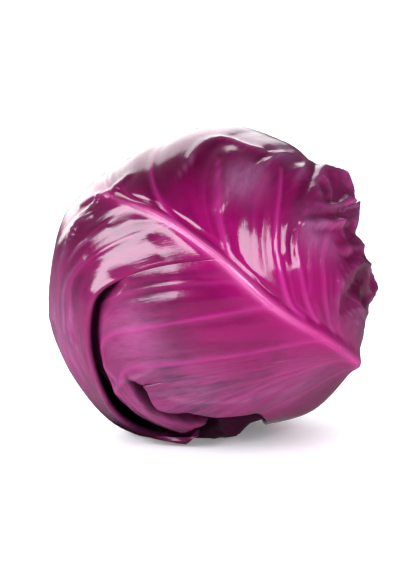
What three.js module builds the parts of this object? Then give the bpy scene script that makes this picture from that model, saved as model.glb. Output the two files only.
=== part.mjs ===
// A red cabbage head that lies on its side: three big wrapper leaves over a tight heart of inner
// leaves, all grown from one cut stem. Millimetres, +Z up, the front is -Y, and the head rests on a
// small flat spot on its under leaf, at the origin.
//
// Every surface is a height over the head's middle: a point lies in some direction from the centre,
// at a radius that the functions below work out. A leaf is laid out on that ball as rows, which run
// from its midrib to its margin as the side veins do.
import * as THREE from "three";
import { mergeVertices } from "three/addons/utils/BufferGeometryUtils.js";

// ---------------------------------------------------------------- driving dimensions
const HEAD_RADIUS = 83.5;
const HEAD_CENTRE = new THREE.Vector3(0, 0, 80);
const LEAF_THICKNESS = 1.4;
const UNDERLAP_SINK = 5; // how far a leaf lies deeper where another covers it
const HEART_SINK = 15; // the heart's surface below the head's outer form
const STEM_AXIS = { lon: 118, lat: -26 };
const STEM_RADIUS = 14.5;

// Broad swellings and flats of the head: [longitude, latitude, spread in degrees, height].
// Longitude runs from the front (0) to the right (90); latitude is up.
const HEAD_BULGES = [
  [-108, 60, 25, -6],
  [96, 33, 11, 7],
  [92, 11, 8, -4],
  [90, -2, 7, 3],
  [84, -28, 15, 4],
  [79, -47, 12, 3],
  [58, -72, 12, -3],
  [-74, -56, 17, 5],
  [-86, -21, 15, 2.5],
  [0, -90, 16, 2],
];

// ---------------------------------------------------------------- directions on the ball
const DEG = Math.PI / 180;
const clamp01 = (x) => Math.min(1, Math.max(0, x));
const smooth = (x) => clamp01(x) ** 2 * (3 - 2 * clamp01(x));
const mix = (a, b, t) => a + (b - a) * t;

function toward(lon, lat) {
  const flat = Math.cos(lat * DEG);
  return new THREE.Vector3(Math.sin(lon * DEG) * flat, -Math.cos(lon * DEG) * flat, Math.sin(lat * DEG));
}

// A smooth value through hand-set ones, at place q counted in them (Catmull-Rom).
function through(values, q) {
  const last = values.length - 1;
  const i = Math.min(Math.floor(q), last - 1);
  const t = q - i;
  const at = (k) => {
    if (k < 0) return 2 * values[0] - values[1];
    return k > last ? 2 * values[last] - values[last - 1] : values[k];
  };
  const [a, b, c, d] = [at(i - 1), at(i), at(i + 1), at(i + 2)];
  return 0.5 * (2 * b + (c - a) * t + (2 * a - 5 * b + 4 * c - d) * t * t + (3 * b - a - 3 * c + d) * t ** 3);
}

function directionThrough(dirs, q) {
  return new THREE.Vector3(
    through(dirs.map((d) => d.x), q),
    through(dirs.map((d) => d.y), q),
    through(dirs.map((d) => d.z), q),
  ).normalize();
}

// A line on the ball through [longitude, latitude] knots, as even steps.
function pathThrough(knots, count) {
  const dirs = knots.map(([lon, lat]) => toward(lon, lat));
  return Array.from({ length: count + 1 }, (_, k) => directionThrough(dirs, (k / count) * (knots.length - 1)));
}

// Distance in millimetres from a direction to a line on the ball, and how far along the line.
function nearest(direction, path) {
  let best = { away: Infinity, along: 0 };
  const step = new THREE.Vector3();
  const offset = new THREE.Vector3();
  for (let i = 0; i < path.length - 1; i++) {
    step.subVectors(path[i + 1], path[i]);
    offset.subVectors(direction, path[i]);
    const t = clamp01(offset.dot(step) / step.lengthSq());
    const away = offset.addScaledVector(step, -t).length();
    if (away < best.away) best = { away, along: (i + t) / (path.length - 1) };
  }
  return { away: best.away * HEAD_RADIUS, along: best.along };
}

function headRadius(direction) {
  let radius = HEAD_RADIUS;
  for (const [lon, lat, spread, height] of HEAD_BULGES) {
    const angle = direction.angleTo(toward(lon, lat)) / (spread * DEG);
    radius += height * Math.exp(-angle * angle);
  }
  return radius;
}

// ---------------------------------------------------------------- a leaf's rows
// A midrib is a line on the ball. A guide row leaves it and walks to the margin; the rows between two
// guides lie between their points. A guide's values are
//   root: place along the midrib, 0 at the stem and 1 at the tip
//   sweep: angle from the midrib where it leaves, and bend: how much more it turns over 100 mm
//   hook, hookAt and end, endAt: two later turns, and where along the row they come; the hook is
//     spread over hookOver mm
//   body, full: the length to the last shared column, and to the margin
const UNSET = { bend: 0, hook: 0, hookAt: 60, hookOver: 30, end: 0, endAt: 120 };
const BEND_OVER = 100;
const END_OVER = 40;
const WALK_STEP = 1.5;

// Walks a guide row and returns its directions at the given lengths from the midrib.
function walkRow(midrib, side, guide, lengths) {
  const row = { ...UNSET, ...guide };
  const place = clamp01(row.root) * (midrib.length - 1);
  const i = Math.min(Math.floor(place), midrib.length - 2);
  const here = midrib[i].clone().lerp(midrib[i + 1], place - i).normalize();
  const ahead = midrib[Math.min(i + 2, midrib.length - 1)].clone().sub(midrib[Math.max(i - 1, 0)]);
  const heading = ahead.addScaledVector(here, -ahead.dot(here)).normalize();
  heading.applyAxisAngle(here, side * row.sweep * DEG);
  const out = [];
  let walked = 0;
  let turned = 0;
  for (const length of lengths) {
    const steps = Math.max(1, Math.ceil((length - walked) / WALK_STEP));
    const step = (length - walked) / steps;
    for (let k = 0; k < steps && length > walked; k++) {
      const angle = step / HEAD_RADIUS;
      const next = here.clone().multiplyScalar(Math.cos(angle)).addScaledVector(heading, Math.sin(angle));
      heading.multiplyScalar(Math.cos(angle)).addScaledVector(here, -Math.sin(angle));
      here.copy(next);
      const l = walked + step * (k + 1);
      const turn =
        row.bend * clamp01(l / BEND_OVER) +
        row.hook * smooth((l - row.hookAt) / row.hookOver) +
        row.end * smooth((l - row.endAt) / END_OVER);
      heading.applyAxisAngle(here, -side * (turn - turned) * DEG);
      turned = turn;
    }
    walked = length;
    out.push(here.clone());
  }
  return out;
}

// The lengths of a row's columns: `inner` even steps to its body length, then `outer` to its margin.
const ROW_START = 1.5;
function columnsOf(row, inner, outer) {
  const lengths = [];
  for (let k = 0; k <= inner; k++) lengths.push(mix(ROW_START, row.body, k / inner));
  for (let k = 1; k <= outer; k++) lengths.push(mix(row.body, row.full, k / outer));
  return lengths;
}

// One lobe: a net of rows by columns, on one side of the midrib.
function layLobe(midrib, lobe, subrows) {
  const { guides } = lobe;
  const columns = guides.map((guide) => columnsOf(guide, lobe.inner, lobe.outer));
  const walked = guides.map((guide, i) => walkRow(midrib, lobe.side, guide, columns[i]));
  const rows = [];
  for (let i = 0; i < guides.length - 1; i++) {
    for (const part of subrows) rows.push(i + part);
  }
  rows.push(guides.length - 1);
  return rows.map((q) => {
    const root = through(guides.map((g) => g.root), q);
    const full = through(guides.map((g) => g.full), q);
    return columns[0].map((_, k) => {
      const length = through(columns.map((c) => c[k]), q);
      return { direction: directionThrough(walked.map((w) => w[k]), q), q, root, length, reach: length / full };
    });
  });
}

// ---------------------------------------------------------------- the front leaf
// Its midrib runs from the stem at the lower right up to the upper left. The upper half is whole.
// The lower half has two tears: its outer lobe folds down over the middle one along the first, and
// the low lobe lies over the middle one at the second.
const FRONT_MIDRIB = pathThrough(
  [
    [103, -31],
    [82, -28],
    [47, -14],
    [21.5, 1],
    [2, 19],
    [-20, 32],
    [-40, 36.5],
    [-61, 40],
    [-85, 43],
    [-108, 42],
  ],
  60,
);
const INNER = 13; // columns to a row's body length
const OUTER = 7; // columns from there to the margin

const FRONT_UPPER = [
  { root: 0.0, sweep: 100, bend: -20, body: 40, full: 66 },
  { root: 0.1, sweep: 52, bend: -95, body: 54, full: 92 },
  { root: 0.196, sweep: 31, bend: -118, body: 64, full: 100 },
  { root: 0.25, sweep: 30, bend: -120, body: 78, full: 120 },
  { root: 0.272, sweep: 10, bend: -125, body: 88, full: 150 },
  { root: 0.338, sweep: 27, bend: -86, body: 90, full: 150 },
  { root: 0.387, sweep: 4, bend: -84, body: 95, full: 160 },
  { root: 0.49, sweep: 6, bend: -70, body: 80, full: 138 },
  { root: 0.583, sweep: 8, bend: -63, body: 72, full: 118 },
  { root: 0.7, sweep: 12, bend: -60, body: 60, full: 98 },
  { root: 0.84, sweep: 14, bend: -50, body: 48, full: 72 },
  { root: 1.0, sweep: 0, bend: 0, body: 20, full: 32 },
];
const OUTER_TEAR = { root: 0.433, sweep: 40.5, bend: -38, hookAt: 55, body: 53 };
const INNER_TEAR = { root: 0.187, sweep: 24, bend: -44, hook: -165, hookAt: 113, hookOver: 7, endAt: 150, body: 114 };
const FRONT_OUTER_LOBE = [
  { ...OUTER_TEAR, hook: -36, hookOver: 22, end: -55, endAt: 123, full: 178 },
  { root: 0.53, sweep: 45, bend: -15, hook: -44, hookAt: 50, hookOver: 27, end: -60, endAt: 130, body: 51, full: 190 },
  { root: 0.63, sweep: 45, bend: -2, hook: -46, hookAt: 44, end: -66, endAt: 137, body: 50, full: 194 },
  { root: 0.74, sweep: 40, hook: -36, hookAt: 40, end: -44, endAt: 128, body: 46, full: 200 },
  { root: 0.87, sweep: 30, hook: -20, hookAt: 30, end: -20, endAt: 110, body: 36, full: 140 },
  { root: 1.0, sweep: 0, hookAt: 20, endAt: 100, body: 20, full: 32 },
];
const FRONT_MIDDLE_LOBE = [
  { ...INNER_TEAR, full: 176 },
  { root: 0.231, sweep: 32, bend: -28, hook: -129, hookAt: 100, hookOver: 36, endAt: 150, body: 128, full: 172 },
  { root: 0.333, sweep: 42, bend: -15, hook: -77, hookAt: 81, hookOver: 28, end: -33, endAt: 128, body: 114, full: 162 },
  { root: 0.385, sweep: 41, bend: -26, hook: -36, hookAt: 72, endAt: 150, body: 82, full: 118 },
  { ...OUTER_TEAR, hook: -6, endAt: 150, full: 90 },
];
const FRONT_LOW_LOBE = [
  { root: 0.0, sweep: 92, bend: -60, body: 56, full: 56 },
  { root: 0.104, sweep: 21, bend: -82, body: 73, full: 73 },
  { root: 0.145, sweep: 12, bend: -81, body: 106, full: 106 },
  { root: 0.168, sweep: 23.5, bend: -56, body: 114, full: 114 },
  { ...INNER_TEAR, full: 114 },
];

const frontLobes = [
  { side: -1, guides: FRONT_UPPER, inner: INNER, outer: OUTER },
  { side: 1, guides: FRONT_OUTER_LOBE, inner: INNER, outer: OUTER, lifted: true },
  { side: 1, guides: FRONT_MIDDLE_LOBE, inner: INNER, outer: OUTER, under: true },
  { side: 1, guides: FRONT_LOW_LOBE, inner: INNER, outer: 0, low: true },
];

// ---------------------------------------------------------------- the other two wrapper leaves
// Their rows follow one rule: long in the middle of the leaf, short at the stem and the tip.
function plainRows(count, width, narrow) {
  return Array.from({ length: count }, (_, i) => {
    const u = i / (count - 1);
    const round = Math.sin(Math.PI * mix(0.2, 0.93, u)) ** 0.6;
    const waver = 1 + 0.04 * Math.sin(9.1 * u + narrow * 7);
    const full = u === 1 ? width * 0.3 : width * narrow * round * waver;
    return {
      root: u ** 1.15,
      sweep: mix(104, 8, u ** 0.5),
      bend: -52 * Math.sin(Math.PI * u),
      body: full * 0.6,
      full,
    };
  });
}

const leaves = [
  { name: "leaf_front", midrib: FRONT_MIDRIB, lobes: frontLobes, subrows: [0, 0.14, 0.42, 0.72], seed: 1 },
  {
    name: "leaf_back",
    midrib: pathThrough(
      [
        [129, -15],
        [146, 3],
        [166, 19],
        [-174, 31],
        [-152, 37],
        [-128, 39],
      ],
      40,
    ),
    width: 116,
    sides: [1, 1.08],
    seed: 2,
  },
  {
    name: "leaf_under",
    midrib: pathThrough(
      [
        [122, -41],
        [146, -60],
        [-170, -66],
        [-126, -58],
        [-100, -42],
        [-88, -22],
      ],
      40,
    ),
    width: 112,
    sides: [1, 1.12],
    seed: 3,
  },
];
for (const leaf of leaves) {
  if (leaf.lobes) continue;
  leaf.subrows = [0, 0.3, 0.65];
  leaf.lobes = [-1, 1].map((side, k) => ({
    side,
    guides: plainRows(9, leaf.width, leaf.sides[k]),
    inner: 8,
    outer: 5,
  }));
}

// ---------------------------------------------------------------- coverage
// The outline of what one leaf covers: round by its stem edge and its margins.
const marginOf = (net) => net.map((row) => row[row.length - 1].direction);
const firstRowOf = (net) => net[0].map((point) => point.direction);

function outlineOf(leaf, nets) {
  const lower = leaf.lobes.length > 2 ? [nets[1], nets[3]] : [nets[1]];
  const down = lower.flatMap((net) => marginOf(net).reverse());
  return [...firstRowOf(nets[0]), ...marginOf(nets[0]), ...down, ...firstRowOf(lower[lower.length - 1]).reverse()];
}

// An outline laid flat, seen from the point opposite its middle, so that inside and outside are plain.
function flatten(direction, { turn }) {
  const p = direction.clone().applyQuaternion(turn);
  return [p.x / (1 + p.z), p.y / (1 + p.z)];
}

function coverOf(line, middle) {
  const cover = { line: [...line, line[0]], turn: new THREE.Quaternion() };
  cover.turn.setFromUnitVectors(middle, new THREE.Vector3(0, 0, 1));
  cover.flat = cover.line.map((direction) => flatten(direction, cover));
  return cover;
}

// How far inside a cover a direction lies, in millimetres; negative outside it.
function insetIn(direction, cover) {
  const [x, y] = flatten(direction, cover);
  let inside = false;
  for (let i = 1; i < cover.flat.length; i++) {
    const [ax, ay] = cover.flat[i - 1];
    const [bx, by] = cover.flat[i];
    if (ay > y !== by > y && x < ax + ((bx - ax) * (y - ay)) / (by - ay)) inside = !inside;
  }
  const { away } = nearest(direction, cover.line);
  return inside ? away : -away;
}

// ---------------------------------------------------------------- relief
// Creases of the front leaf where it was pressed in its crate: knots, height and half width.
const FRONT_CREASES = [
  { knots: [[-11, 57], [-3, 68], [21, 71], [34, 63], [57, 57], [81, 55]], height: 1.6, width: 4 },
  { knots: [[4, 36], [11, 43], [23, 50]], height: 1, width: 4 },
  { knots: [[46, 40], [59, 43], [83, 47]], height: -2.6, width: 4.5 },
  { knots: [[58, 38], [67, 46], [90, 45], [98, 36]], height: 3, width: 6 },
  { knots: [[44, 32], [58, 30.5], [90, 27]], height: -2.6, width: 4.5 },
  { knots: [[42, 26], [56, 25], [76, 23]], height: 2.2, width: 4.5 },
  { knots: [[57, 21], [80, 19.5], [94, 18]], height: -2.2, width: 4.5 },
  { knots: [[68, 6], [60, 1], [56, -5]], height: -3, width: 4.5 },
  { knots: [[52, -4], [52, 3], [57, 9], [68, 10], [86, 6], [90, -2], [74, -5]], height: 2.6, width: 5 },
  { knots: [[-40, 27], [-47, 21], [-62, 11]], height: 1.2, width: 4 },
  { knots: [[-52, 14], [-60, 2], [-60, -14], [-52, -20]], height: 1.3, width: 4 },
  { knots: [[-60, -14], [-70, -10], [-84, -12]], height: 1.2, width: 4 },
  { knots: [[-51, -41], [-39, -31], [-22, -23]], height: 1.4, width: 4 },
];
for (const crease of FRONT_CREASES) crease.path = pathThrough(crease.knots, 12);

const MIDRIB_HEIGHT = [5.2, 1.6]; // at the stem and at the tip
const MIDRIB_WIDTH = [6.4, 2.8];
const VEIN_HEIGHT = [2.2, 0.5];
const VEIN_WIDTH = [2.7, 1.8];
const PUCKER = 1.1; // how far the blade swells between its veins
const PUCKER_REACH = 11;
const SEAM_CALM = 9; // the swelling dies out this near a row that two lobes share
const WAVE_HEIGHT = 1.3; // of the margin
const RELIEF_FLOOR = -1.5;
const COVERED_RELIEF = 0.3; // what is left of a leaf's relief where another lies over it

const ridge = (away, width) => Math.exp(-((away / width) ** 2));

function veinsOf(leaf) {
  return leaf.lobes.map((lobe) =>
    lobe.guides.slice(1, -1).map((guide) => {
      const lengths = Array.from({ length: 13 }, (_, k) => (guide.full * k) / 12);
      return walkRow(leaf.midrib, lobe.side, guide, lengths);
    }),
  );
}

function seamCalm(leaf, direction) {
  return smooth(Math.min(...leaf.seams.map((seam) => nearest(direction, seam).away)) / SEAM_CALM);
}

// Height of a leaf's outer face over its own level: midrib, side veins, the swelling blade between
// them, creases and the waved margin.
function reliefAt(leaf, lobeIndex, point) {
  const { direction } = point;
  const rib = nearest(direction, leaf.midrib);
  let height = mix(...MIDRIB_HEIGHT, rib.along ** 0.7) * ridge(rib.away, mix(...MIDRIB_WIDTH, rib.along ** 0.6));
  let clear = rib.away;
  for (const vein of leaf.veins[lobeIndex]) {
    const { away, along } = nearest(direction, vein);
    height = Math.max(height, mix(...VEIN_HEIGHT, along) * ridge(away, mix(...VEIN_WIDTH, along)));
    clear = Math.min(clear, away);
  }
  const calm = leaf.seams && lobeIndex > 0 ? seamCalm(leaf, direction) : 1;
  height += calm * PUCKER * (0.5 - ridge(clear, PUCKER_REACH));
  for (const crease of leaf.creases) {
    const { away, along } = nearest(direction, crease.path);
    height += crease.height * ridge(away, crease.width) * (0.35 + 0.65 * Math.sin(Math.PI * mix(0.1, 0.9, along)));
  }
  height += WAVE_HEIGHT * smooth((point.reach - 0.7) / 0.3) * Math.sin(point.q * 4.1 + leaf.seed * 2);
  return Math.max(height, RELIEF_FLOOR);
}

// ---------------------------------------------------------------- layers
// How deep a leaf lies at a point, by what covers it. The order from outside in is front, back,
// under, and the heart below all three.
const UNDER_LEAF_SINK = 10; // the under leaf, where the front leaf covers it,
const UNDER_SWELL = { lon: -62, lat: -62, spread: 15, height: 2.5 }; // but for the hollow behind the lip
const TUCKED_SINK = 4.5; // the front leaf's middle lobe below its folded outer lobe
const TAIL_SINK = 7; // the middle lobe's end below the low lobe
const LIP_LIFT = [1.6, 2.6]; // the folded lobe over the middle one, and more at its rolled lip
const LIP_REACH = 9;
const LOW_EDGE_LIFT = 1.6; // the low lobe's turned-up edge
const MARGIN_EASE = 14; // the step at a covering margin is eased over this much,
const MARGIN_CLEAR = 4; // and is all there this far outside the margin

function sinkAt(leaf, lobe, point) {
  const under = (cover, ease) => smooth((insetIn(point.direction, cover) + MARGIN_CLEAR + ease) / ease);
  if (leaf.name === "leaf_back") return UNDERLAP_SINK * under(covers.leaf_front, MARGIN_EASE);
  if (leaf.name === "leaf_under") {
    const front = under(covers.leaf_front, MARGIN_EASE);
    const back = under(covers.leaf_back, MARGIN_EASE);
    const away = point.direction.angleTo(toward(UNDER_SWELL.lon, UNDER_SWELL.lat)) / (UNDER_SWELL.spread * DEG);
    const swell = UNDER_SWELL.height * ridge(away, 1);
    return (UNDER_LEAF_SINK - swell) * front + UNDERLAP_SINK * back * (1 - 0.5 * front);
  }
  if (!lobe.under) return 0;
  const torn = smooth((point.length - OUTER_TEAR.body + 6) / 16);
  const tucked = TUCKED_SINK * torn * smooth((insetIn(point.direction, covers.outer_lobe) + 6) / 10);
  const tail = TAIL_SINK * smooth((insetIn(point.direction, covers.low_lobe) + 5) / 4.5);
  return Math.max(tucked, tail * smooth((point.length - INNER_TEAR.body) / 8));
}

function liftAt(leaf, lobe, point) {
  if (lobe.low) return LOW_EDGE_LIFT * smooth((point.reach - 0.86) / 0.14) * smooth((point.q - 1.5) / 1.5);
  if (!lobe.lifted) return 0;
  const { away } = nearest(point.direction, leaf.lip);
  const past = smooth((point.length - OUTER_TEAR.body) / 20);
  const fade = 1 - smooth((away - 25) / 22);
  return past * fade * (LIP_LIFT[0] + LIP_LIFT[1] * ridge(away, LIP_REACH));
}

// The floor: the under leaf is flat on it over the rest spot, the front leaf's folded lobe just
// clears it, and each keeps clear of the other.
const REST_RADIUS = 26;
const FRONT_CLEARANCE = 0.25;
const UNDER_RAISED = 2.4;

function floorAt(leaf, direction) {
  if (leaf.name !== "leaf_under") return FRONT_CLEARANCE;
  const out = (Math.hypot(direction.x, direction.y) / -direction.z) * HEAD_CENTRE.z;
  const toFront = smooth((-direction.y * 3 + Math.abs(direction.x)) / 0.4);
  return UNDER_RAISED * smooth((out - REST_RADIUS) / 8) * toFront;
}

// ---------------------------------------------------------------- solids
function layLeaf(leaf) {
  const nets = leaf.lobes.map((lobe) => layLobe(leaf.midrib, lobe, leaf.subrows));
  const sheet = { corners: new Map(), outside: [], inside: [], faces: [] };
  const ribSides = { "-1": [], 1: [] };
  leaf.lobes.forEach((lobe, index) => {
    const places = nets[index].map((row) =>
      row.map((point) => {
        const covered = sinkAt(leaf, lobe, point);
        const keep = mix(1, COVERED_RELIEF, smooth(covered / UNDERLAP_SINK));
        const level = headRadius(point.direction) - covered + liftAt(leaf, lobe, point);
        const floor = floorAt(leaf, point.direction);
        const reach = (lowest) =>
          point.direction.z < 0 ? (HEAD_CENTRE.z - lowest) / -point.direction.z : Infinity;
        const outer = Math.min(level + keep * reliefAt(leaf, index, point), reach(floor));
        const inner = Math.min(level + keep * RELIEF_FLOOR, outer) - LEAF_THICKNESS;
        return addCorner(sheet, point.direction, outer, Math.min(inner, reach(floor + LEAF_THICKNESS)));
      }),
    );
    for (let i = 0; i < places.length - 1; i++) {
      for (let k = 0; k < places[i].length - 1; k++) {
        const quad = [places[i][k], places[i][k + 1], places[i + 1][k + 1], places[i + 1][k]];
        if (lobe.side > 0) quad.reverse();
        addQuad(sheet, quad, (i + k) % 2 === 0);
      }
    }
    places.forEach(([place], i) => ribSides[lobe.side].push({ place, root: nets[index][i][0].root }));
  });
  joinAtMidrib(sheet, ribSides[-1], ribSides[1]);
  return thickSolid(sheet);
}

// A strip across the midrib, between the first corners of the rows on its two sides.
function joinAtMidrib(sheet, upper, lower) {
  const along = (a, b) => a.root - b.root;
  upper.sort(along);
  lower.sort(along);
  let i = 0;
  let j = 0;
  while (i < upper.length - 1 || j < lower.length - 1) {
    const upperNext = i < upper.length - 1 ? upper[i + 1].root : Infinity;
    const lowerNext = j < lower.length - 1 ? lower[j + 1].root : Infinity;
    let face;
    if (upperNext <= lowerNext) {
      face = [upper[i].place, upper[i + 1].place, lower[j].place];
      i += 1;
    } else {
      face = [lower[j + 1].place, lower[j].place, upper[i].place];
      j += 1;
    }
    if (new Set(face).size === 3) sheet.faces.push(face);
  }
}

// Lobes share the corners of a row up to where it tears, so a corner is known by its direction.
function addCorner(sheet, direction, outer, inner) {
  const key = direction.toArray().map((v) => v.toFixed(5)).join();
  if (!sheet.corners.has(key)) {
    sheet.corners.set(key, sheet.outside.length);
    sheet.outside.push(direction.clone().multiplyScalar(outer).add(HEAD_CENTRE));
    sheet.inside.push(direction.clone().multiplyScalar(inner).add(HEAD_CENTRE));
  }
  return sheet.corners.get(key);
}

function addQuad(sheet, [a, b, c, d], slant) {
  const halves = slant ? [[a, b, c], [a, c, d]] : [[a, b, d], [b, c, d]];
  for (const face of halves) {
    if (new Set(face).size === 3) sheet.faces.push(face);
  }
}

// Both faces of a sheet, split alike, and a wall along every free edge.
function thickSolid({ outside, inside, faces }) {
  const count = outside.length;
  const edges = new Set();
  for (const face of faces) {
    face.forEach((from, k) => edges.add(from + "," + face[(k + 1) % 3]));
  }
  const index = [];
  for (const [a, b, c] of faces) index.push(a, b, c, count + a, count + c, count + b);
  for (const edge of edges) {
    const [from, to] = edge.split(",").map(Number);
    if (edges.has(to + "," + from)) continue;
    index.push(to, from, count + from, to, count + from, count + to);
  }
  const geometry = new THREE.BufferGeometry();
  geometry.setAttribute(
    "position",
    new THREE.Float32BufferAttribute([...outside, ...inside].flatMap((p) => p.toArray()), 3),
  );
  geometry.setIndex(index);
  geometry.computeVertexNormals();
  return geometry;
}

// The heart: the packed inner leaves, whose edges wind round the crown as low overlapping steps.
const HEART_LEAVES = 5;
const HEART_STEP = 2;

function heartSolid() {
  const crown = toward(STEM_AXIS.lon, STEM_AXIS.lat).negate();
  const turn = new THREE.Quaternion().setFromUnitVectors(new THREE.Vector3(0, 1, 0), crown);
  const geometry = new THREE.SphereGeometry(1, 44, 22);
  const position = geometry.getAttribute("position");
  const direction = new THREE.Vector3();
  for (let i = 0; i < position.count; i++) {
    direction.fromBufferAttribute(position, i).normalize();
    const around = Math.atan2(direction.z, direction.x) / (2 * Math.PI);
    const down = Math.acos(Math.min(1, Math.max(-1, direction.y))) / Math.PI;
    const winding = HEART_LEAVES * around + 1.2 * down + 10;
    const edge = 1 - (winding - Math.floor(winding));
    const fade = smooth(down / 0.12) * smooth((0.92 - down) / 0.12);
    direction.applyQuaternion(turn);
    const level = headRadius(direction) - HEART_SINK + fade * (HEART_STEP * (edge ** 3 - 0.4));
    direction.multiplyScalar(level).add(HEAD_CENTRE);
    position.setXYZ(i, ...direction.toArray());
  }
  geometry.deleteAttribute("uv");
  geometry.deleteAttribute("normal");
  return mergeVertices(geometry, 1e-3);
}

// The cut stem: a slightly fluted stub from the heart out to its sawn face.
const STEM_FROM = 72.5;
const STEM_TO = 84.5;

function stemSolid() {
  const profile = [
    [0, STEM_FROM],
    [STEM_RADIUS * 1.06, STEM_FROM],
    [STEM_RADIUS * 0.98, mix(STEM_FROM, STEM_TO, 0.45)],
    [STEM_RADIUS, STEM_TO - 1.2],
    [STEM_RADIUS - 1.1, STEM_TO],
    [0, STEM_TO - 0.5],
  ].map(([radius, height]) => new THREE.Vector2(radius, height));
  const geometry = new THREE.LatheGeometry(profile, 36);
  const position = geometry.getAttribute("position");
  const point = new THREE.Vector3();
  const turn = new THREE.Quaternion().setFromUnitVectors(
    new THREE.Vector3(0, 1, 0),
    toward(STEM_AXIS.lon, STEM_AXIS.lat),
  );
  for (let i = 0; i < position.count; i++) {
    point.fromBufferAttribute(position, i);
    const flute = 1 + 0.035 * Math.cos(5 * Math.atan2(point.z, point.x));
    point.set(point.x * flute, point.y, point.z * flute).applyQuaternion(turn).add(HEAD_CENTRE);
    position.setXYZ(i, ...point.toArray());
  }
  geometry.deleteAttribute("uv");
  geometry.deleteAttribute("normal");
  return mergeVertices(geometry, 1e-3);
}

// ---------------------------------------------------------------- assembly
const covers = {};
for (const leaf of leaves) {
  const nets = leaf.lobes.map((lobe) => layLobe(leaf.midrib, lobe, [0, 0.5]));
  const { midrib } = leaf;
  leaf.veins = veinsOf(leaf);
  leaf.creases = leaf.name === "leaf_front" ? FRONT_CREASES : [];
  covers[leaf.name] = coverOf(outlineOf(leaf, nets), midrib[Math.floor(midrib.length / 2)]);
  if (leaf.name !== "leaf_front") continue;
  const [, outer, , low] = nets;
  leaf.lip = firstRowOf(outer);
  leaf.seams = [leaf.lip, firstRowOf(nets[2])];
  const outerLine = [...leaf.lip, ...marginOf(outer), ...midrib.slice(32).reverse()];
  const lowLine = [...firstRowOf(low), ...marginOf(low), ...firstRowOf([...low].reverse()).reverse()];
  covers.outer_lobe = coverOf(outerLine, toward(-85, 10));
  covers.low_lobe = coverOf([...lowLine, ...midrib.slice(0, 13).reverse()], toward(35, -35));
}

const MATERIALS = {
  leaf_front: { color: 0x9a1b6a, roughness: 0.38 },
  leaf_back: { color: 0x8c1762, roughness: 0.38 },
  leaf_under: { color: 0x5c173f, roughness: 0.42 },
  heart: { color: 0x74205a, roughness: 0.5 },
  stem_stump: { color: 0xe6dcc0, roughness: 0.75 },
};

const head = new THREE.Group();
function addPiece(name, geometry) {
  const piece = new THREE.Mesh(geometry, new THREE.MeshStandardMaterial({ ...MATERIALS[name], metalness: 0 }));
  piece.name = name;
  head.add(piece);
}

for (const leaf of leaves) addPiece(leaf.name, layLeaf(leaf));
addPiece("heart", heartSolid());
addPiece("stem_stump", stemSolid());

export default head;
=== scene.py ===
# %% [markdown]
# # A red cabbage head
# The head lies on its side on a table. Three big wrapper leaves fold over a tight heart, and all of
# them grow from one cut stem, which points to the right, back and down. Each leaf has a thick pale
# midrib, side veins that leave it like the barbs of a feather, and a blade that swells between them.
#
# The solids that come with this file already have those forms, with few faces. Here each leaf is
# laid out again by the same rules, but fine enough for the eye, with softer ribs, and then finished.

# %% The frame
from functools import partial

import bpy
import numpy as np
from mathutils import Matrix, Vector, noise


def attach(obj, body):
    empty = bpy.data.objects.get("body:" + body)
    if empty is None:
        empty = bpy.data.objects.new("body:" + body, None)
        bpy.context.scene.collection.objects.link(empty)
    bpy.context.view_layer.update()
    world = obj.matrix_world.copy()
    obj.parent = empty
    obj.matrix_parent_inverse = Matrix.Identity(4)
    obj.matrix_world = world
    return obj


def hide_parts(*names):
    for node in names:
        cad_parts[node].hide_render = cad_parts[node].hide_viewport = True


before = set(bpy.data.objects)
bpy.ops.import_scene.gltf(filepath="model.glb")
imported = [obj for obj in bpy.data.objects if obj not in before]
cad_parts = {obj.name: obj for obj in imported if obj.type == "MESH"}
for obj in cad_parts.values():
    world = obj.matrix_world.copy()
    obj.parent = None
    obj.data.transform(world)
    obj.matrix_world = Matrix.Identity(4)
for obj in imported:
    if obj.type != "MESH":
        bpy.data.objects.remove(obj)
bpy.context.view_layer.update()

print("solids:", ", ".join(sorted(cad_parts)))

# %% [markdown]
# ## Sizes
# Every size is in millimetres, as a gardener or a cook would measure the head, and becomes metres
# only when a mesh is made. Directions are longitude (0 at the front, 90 at the right) and latitude
# (90 straight up), seen from the middle of the head.

# %% Sizes
MM = 0.001
HEAD_RADIUS = 83.5
HEAD_CENTRE = np.array([0.0, 0.0, 80.0])
LEAF_THICKNESS = 1.4
UNDERLAP_SINK = 5.0
HEART_SINK = 15.0
STEM_AXIS = (118, -26)
STEM_RADIUS = 14.5

# Where the head bulges or is flat: longitude, latitude, spread in degrees and height.
HEAD_BULGES = [
    (-108, 60, 25, -6),
    (96, 33, 11, 7),
    (92, 11, 8, -4),
    (90, -2, 7, 3),
    (84, -28, 15, 4),
    (79, -47, 12, 3),
    (58, -72, 12, -3),
    (-74, -56, 17, 5),
    (-86, -21, 15, 2.5),
    (0, -90, 16, 2),
]
print("a head", 2 * HEAD_RADIUS, "mm across, its middle", HEAD_CENTRE[2], "mm over the table")

# %% [markdown]
# ## Working on a ball
# A leaf that wraps a head is easiest to describe on a ball: where it lies is a direction, and how
# high it stands there is a radius. These helpers turn given knots into smooth lines on the ball
# and measure how far a direction is from such a line.

# %% Helpers for the ball
DEG = np.pi / 180


def smooth(x):
    x = np.clip(x, 0, 1)
    return x * x * (3 - 2 * x)


def mix(a, b, t):
    return a + (b - a) * t


def unit(v):
    return v / np.linalg.norm(v, axis=-1, keepdims=True)


def toward(lon, lat):
    lon, lat = np.asarray(lon, float) * DEG, np.asarray(lat, float) * DEG
    return np.stack([np.sin(lon) * np.cos(lat), -np.cos(lon) * np.cos(lat), np.sin(lat)], -1)


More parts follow.
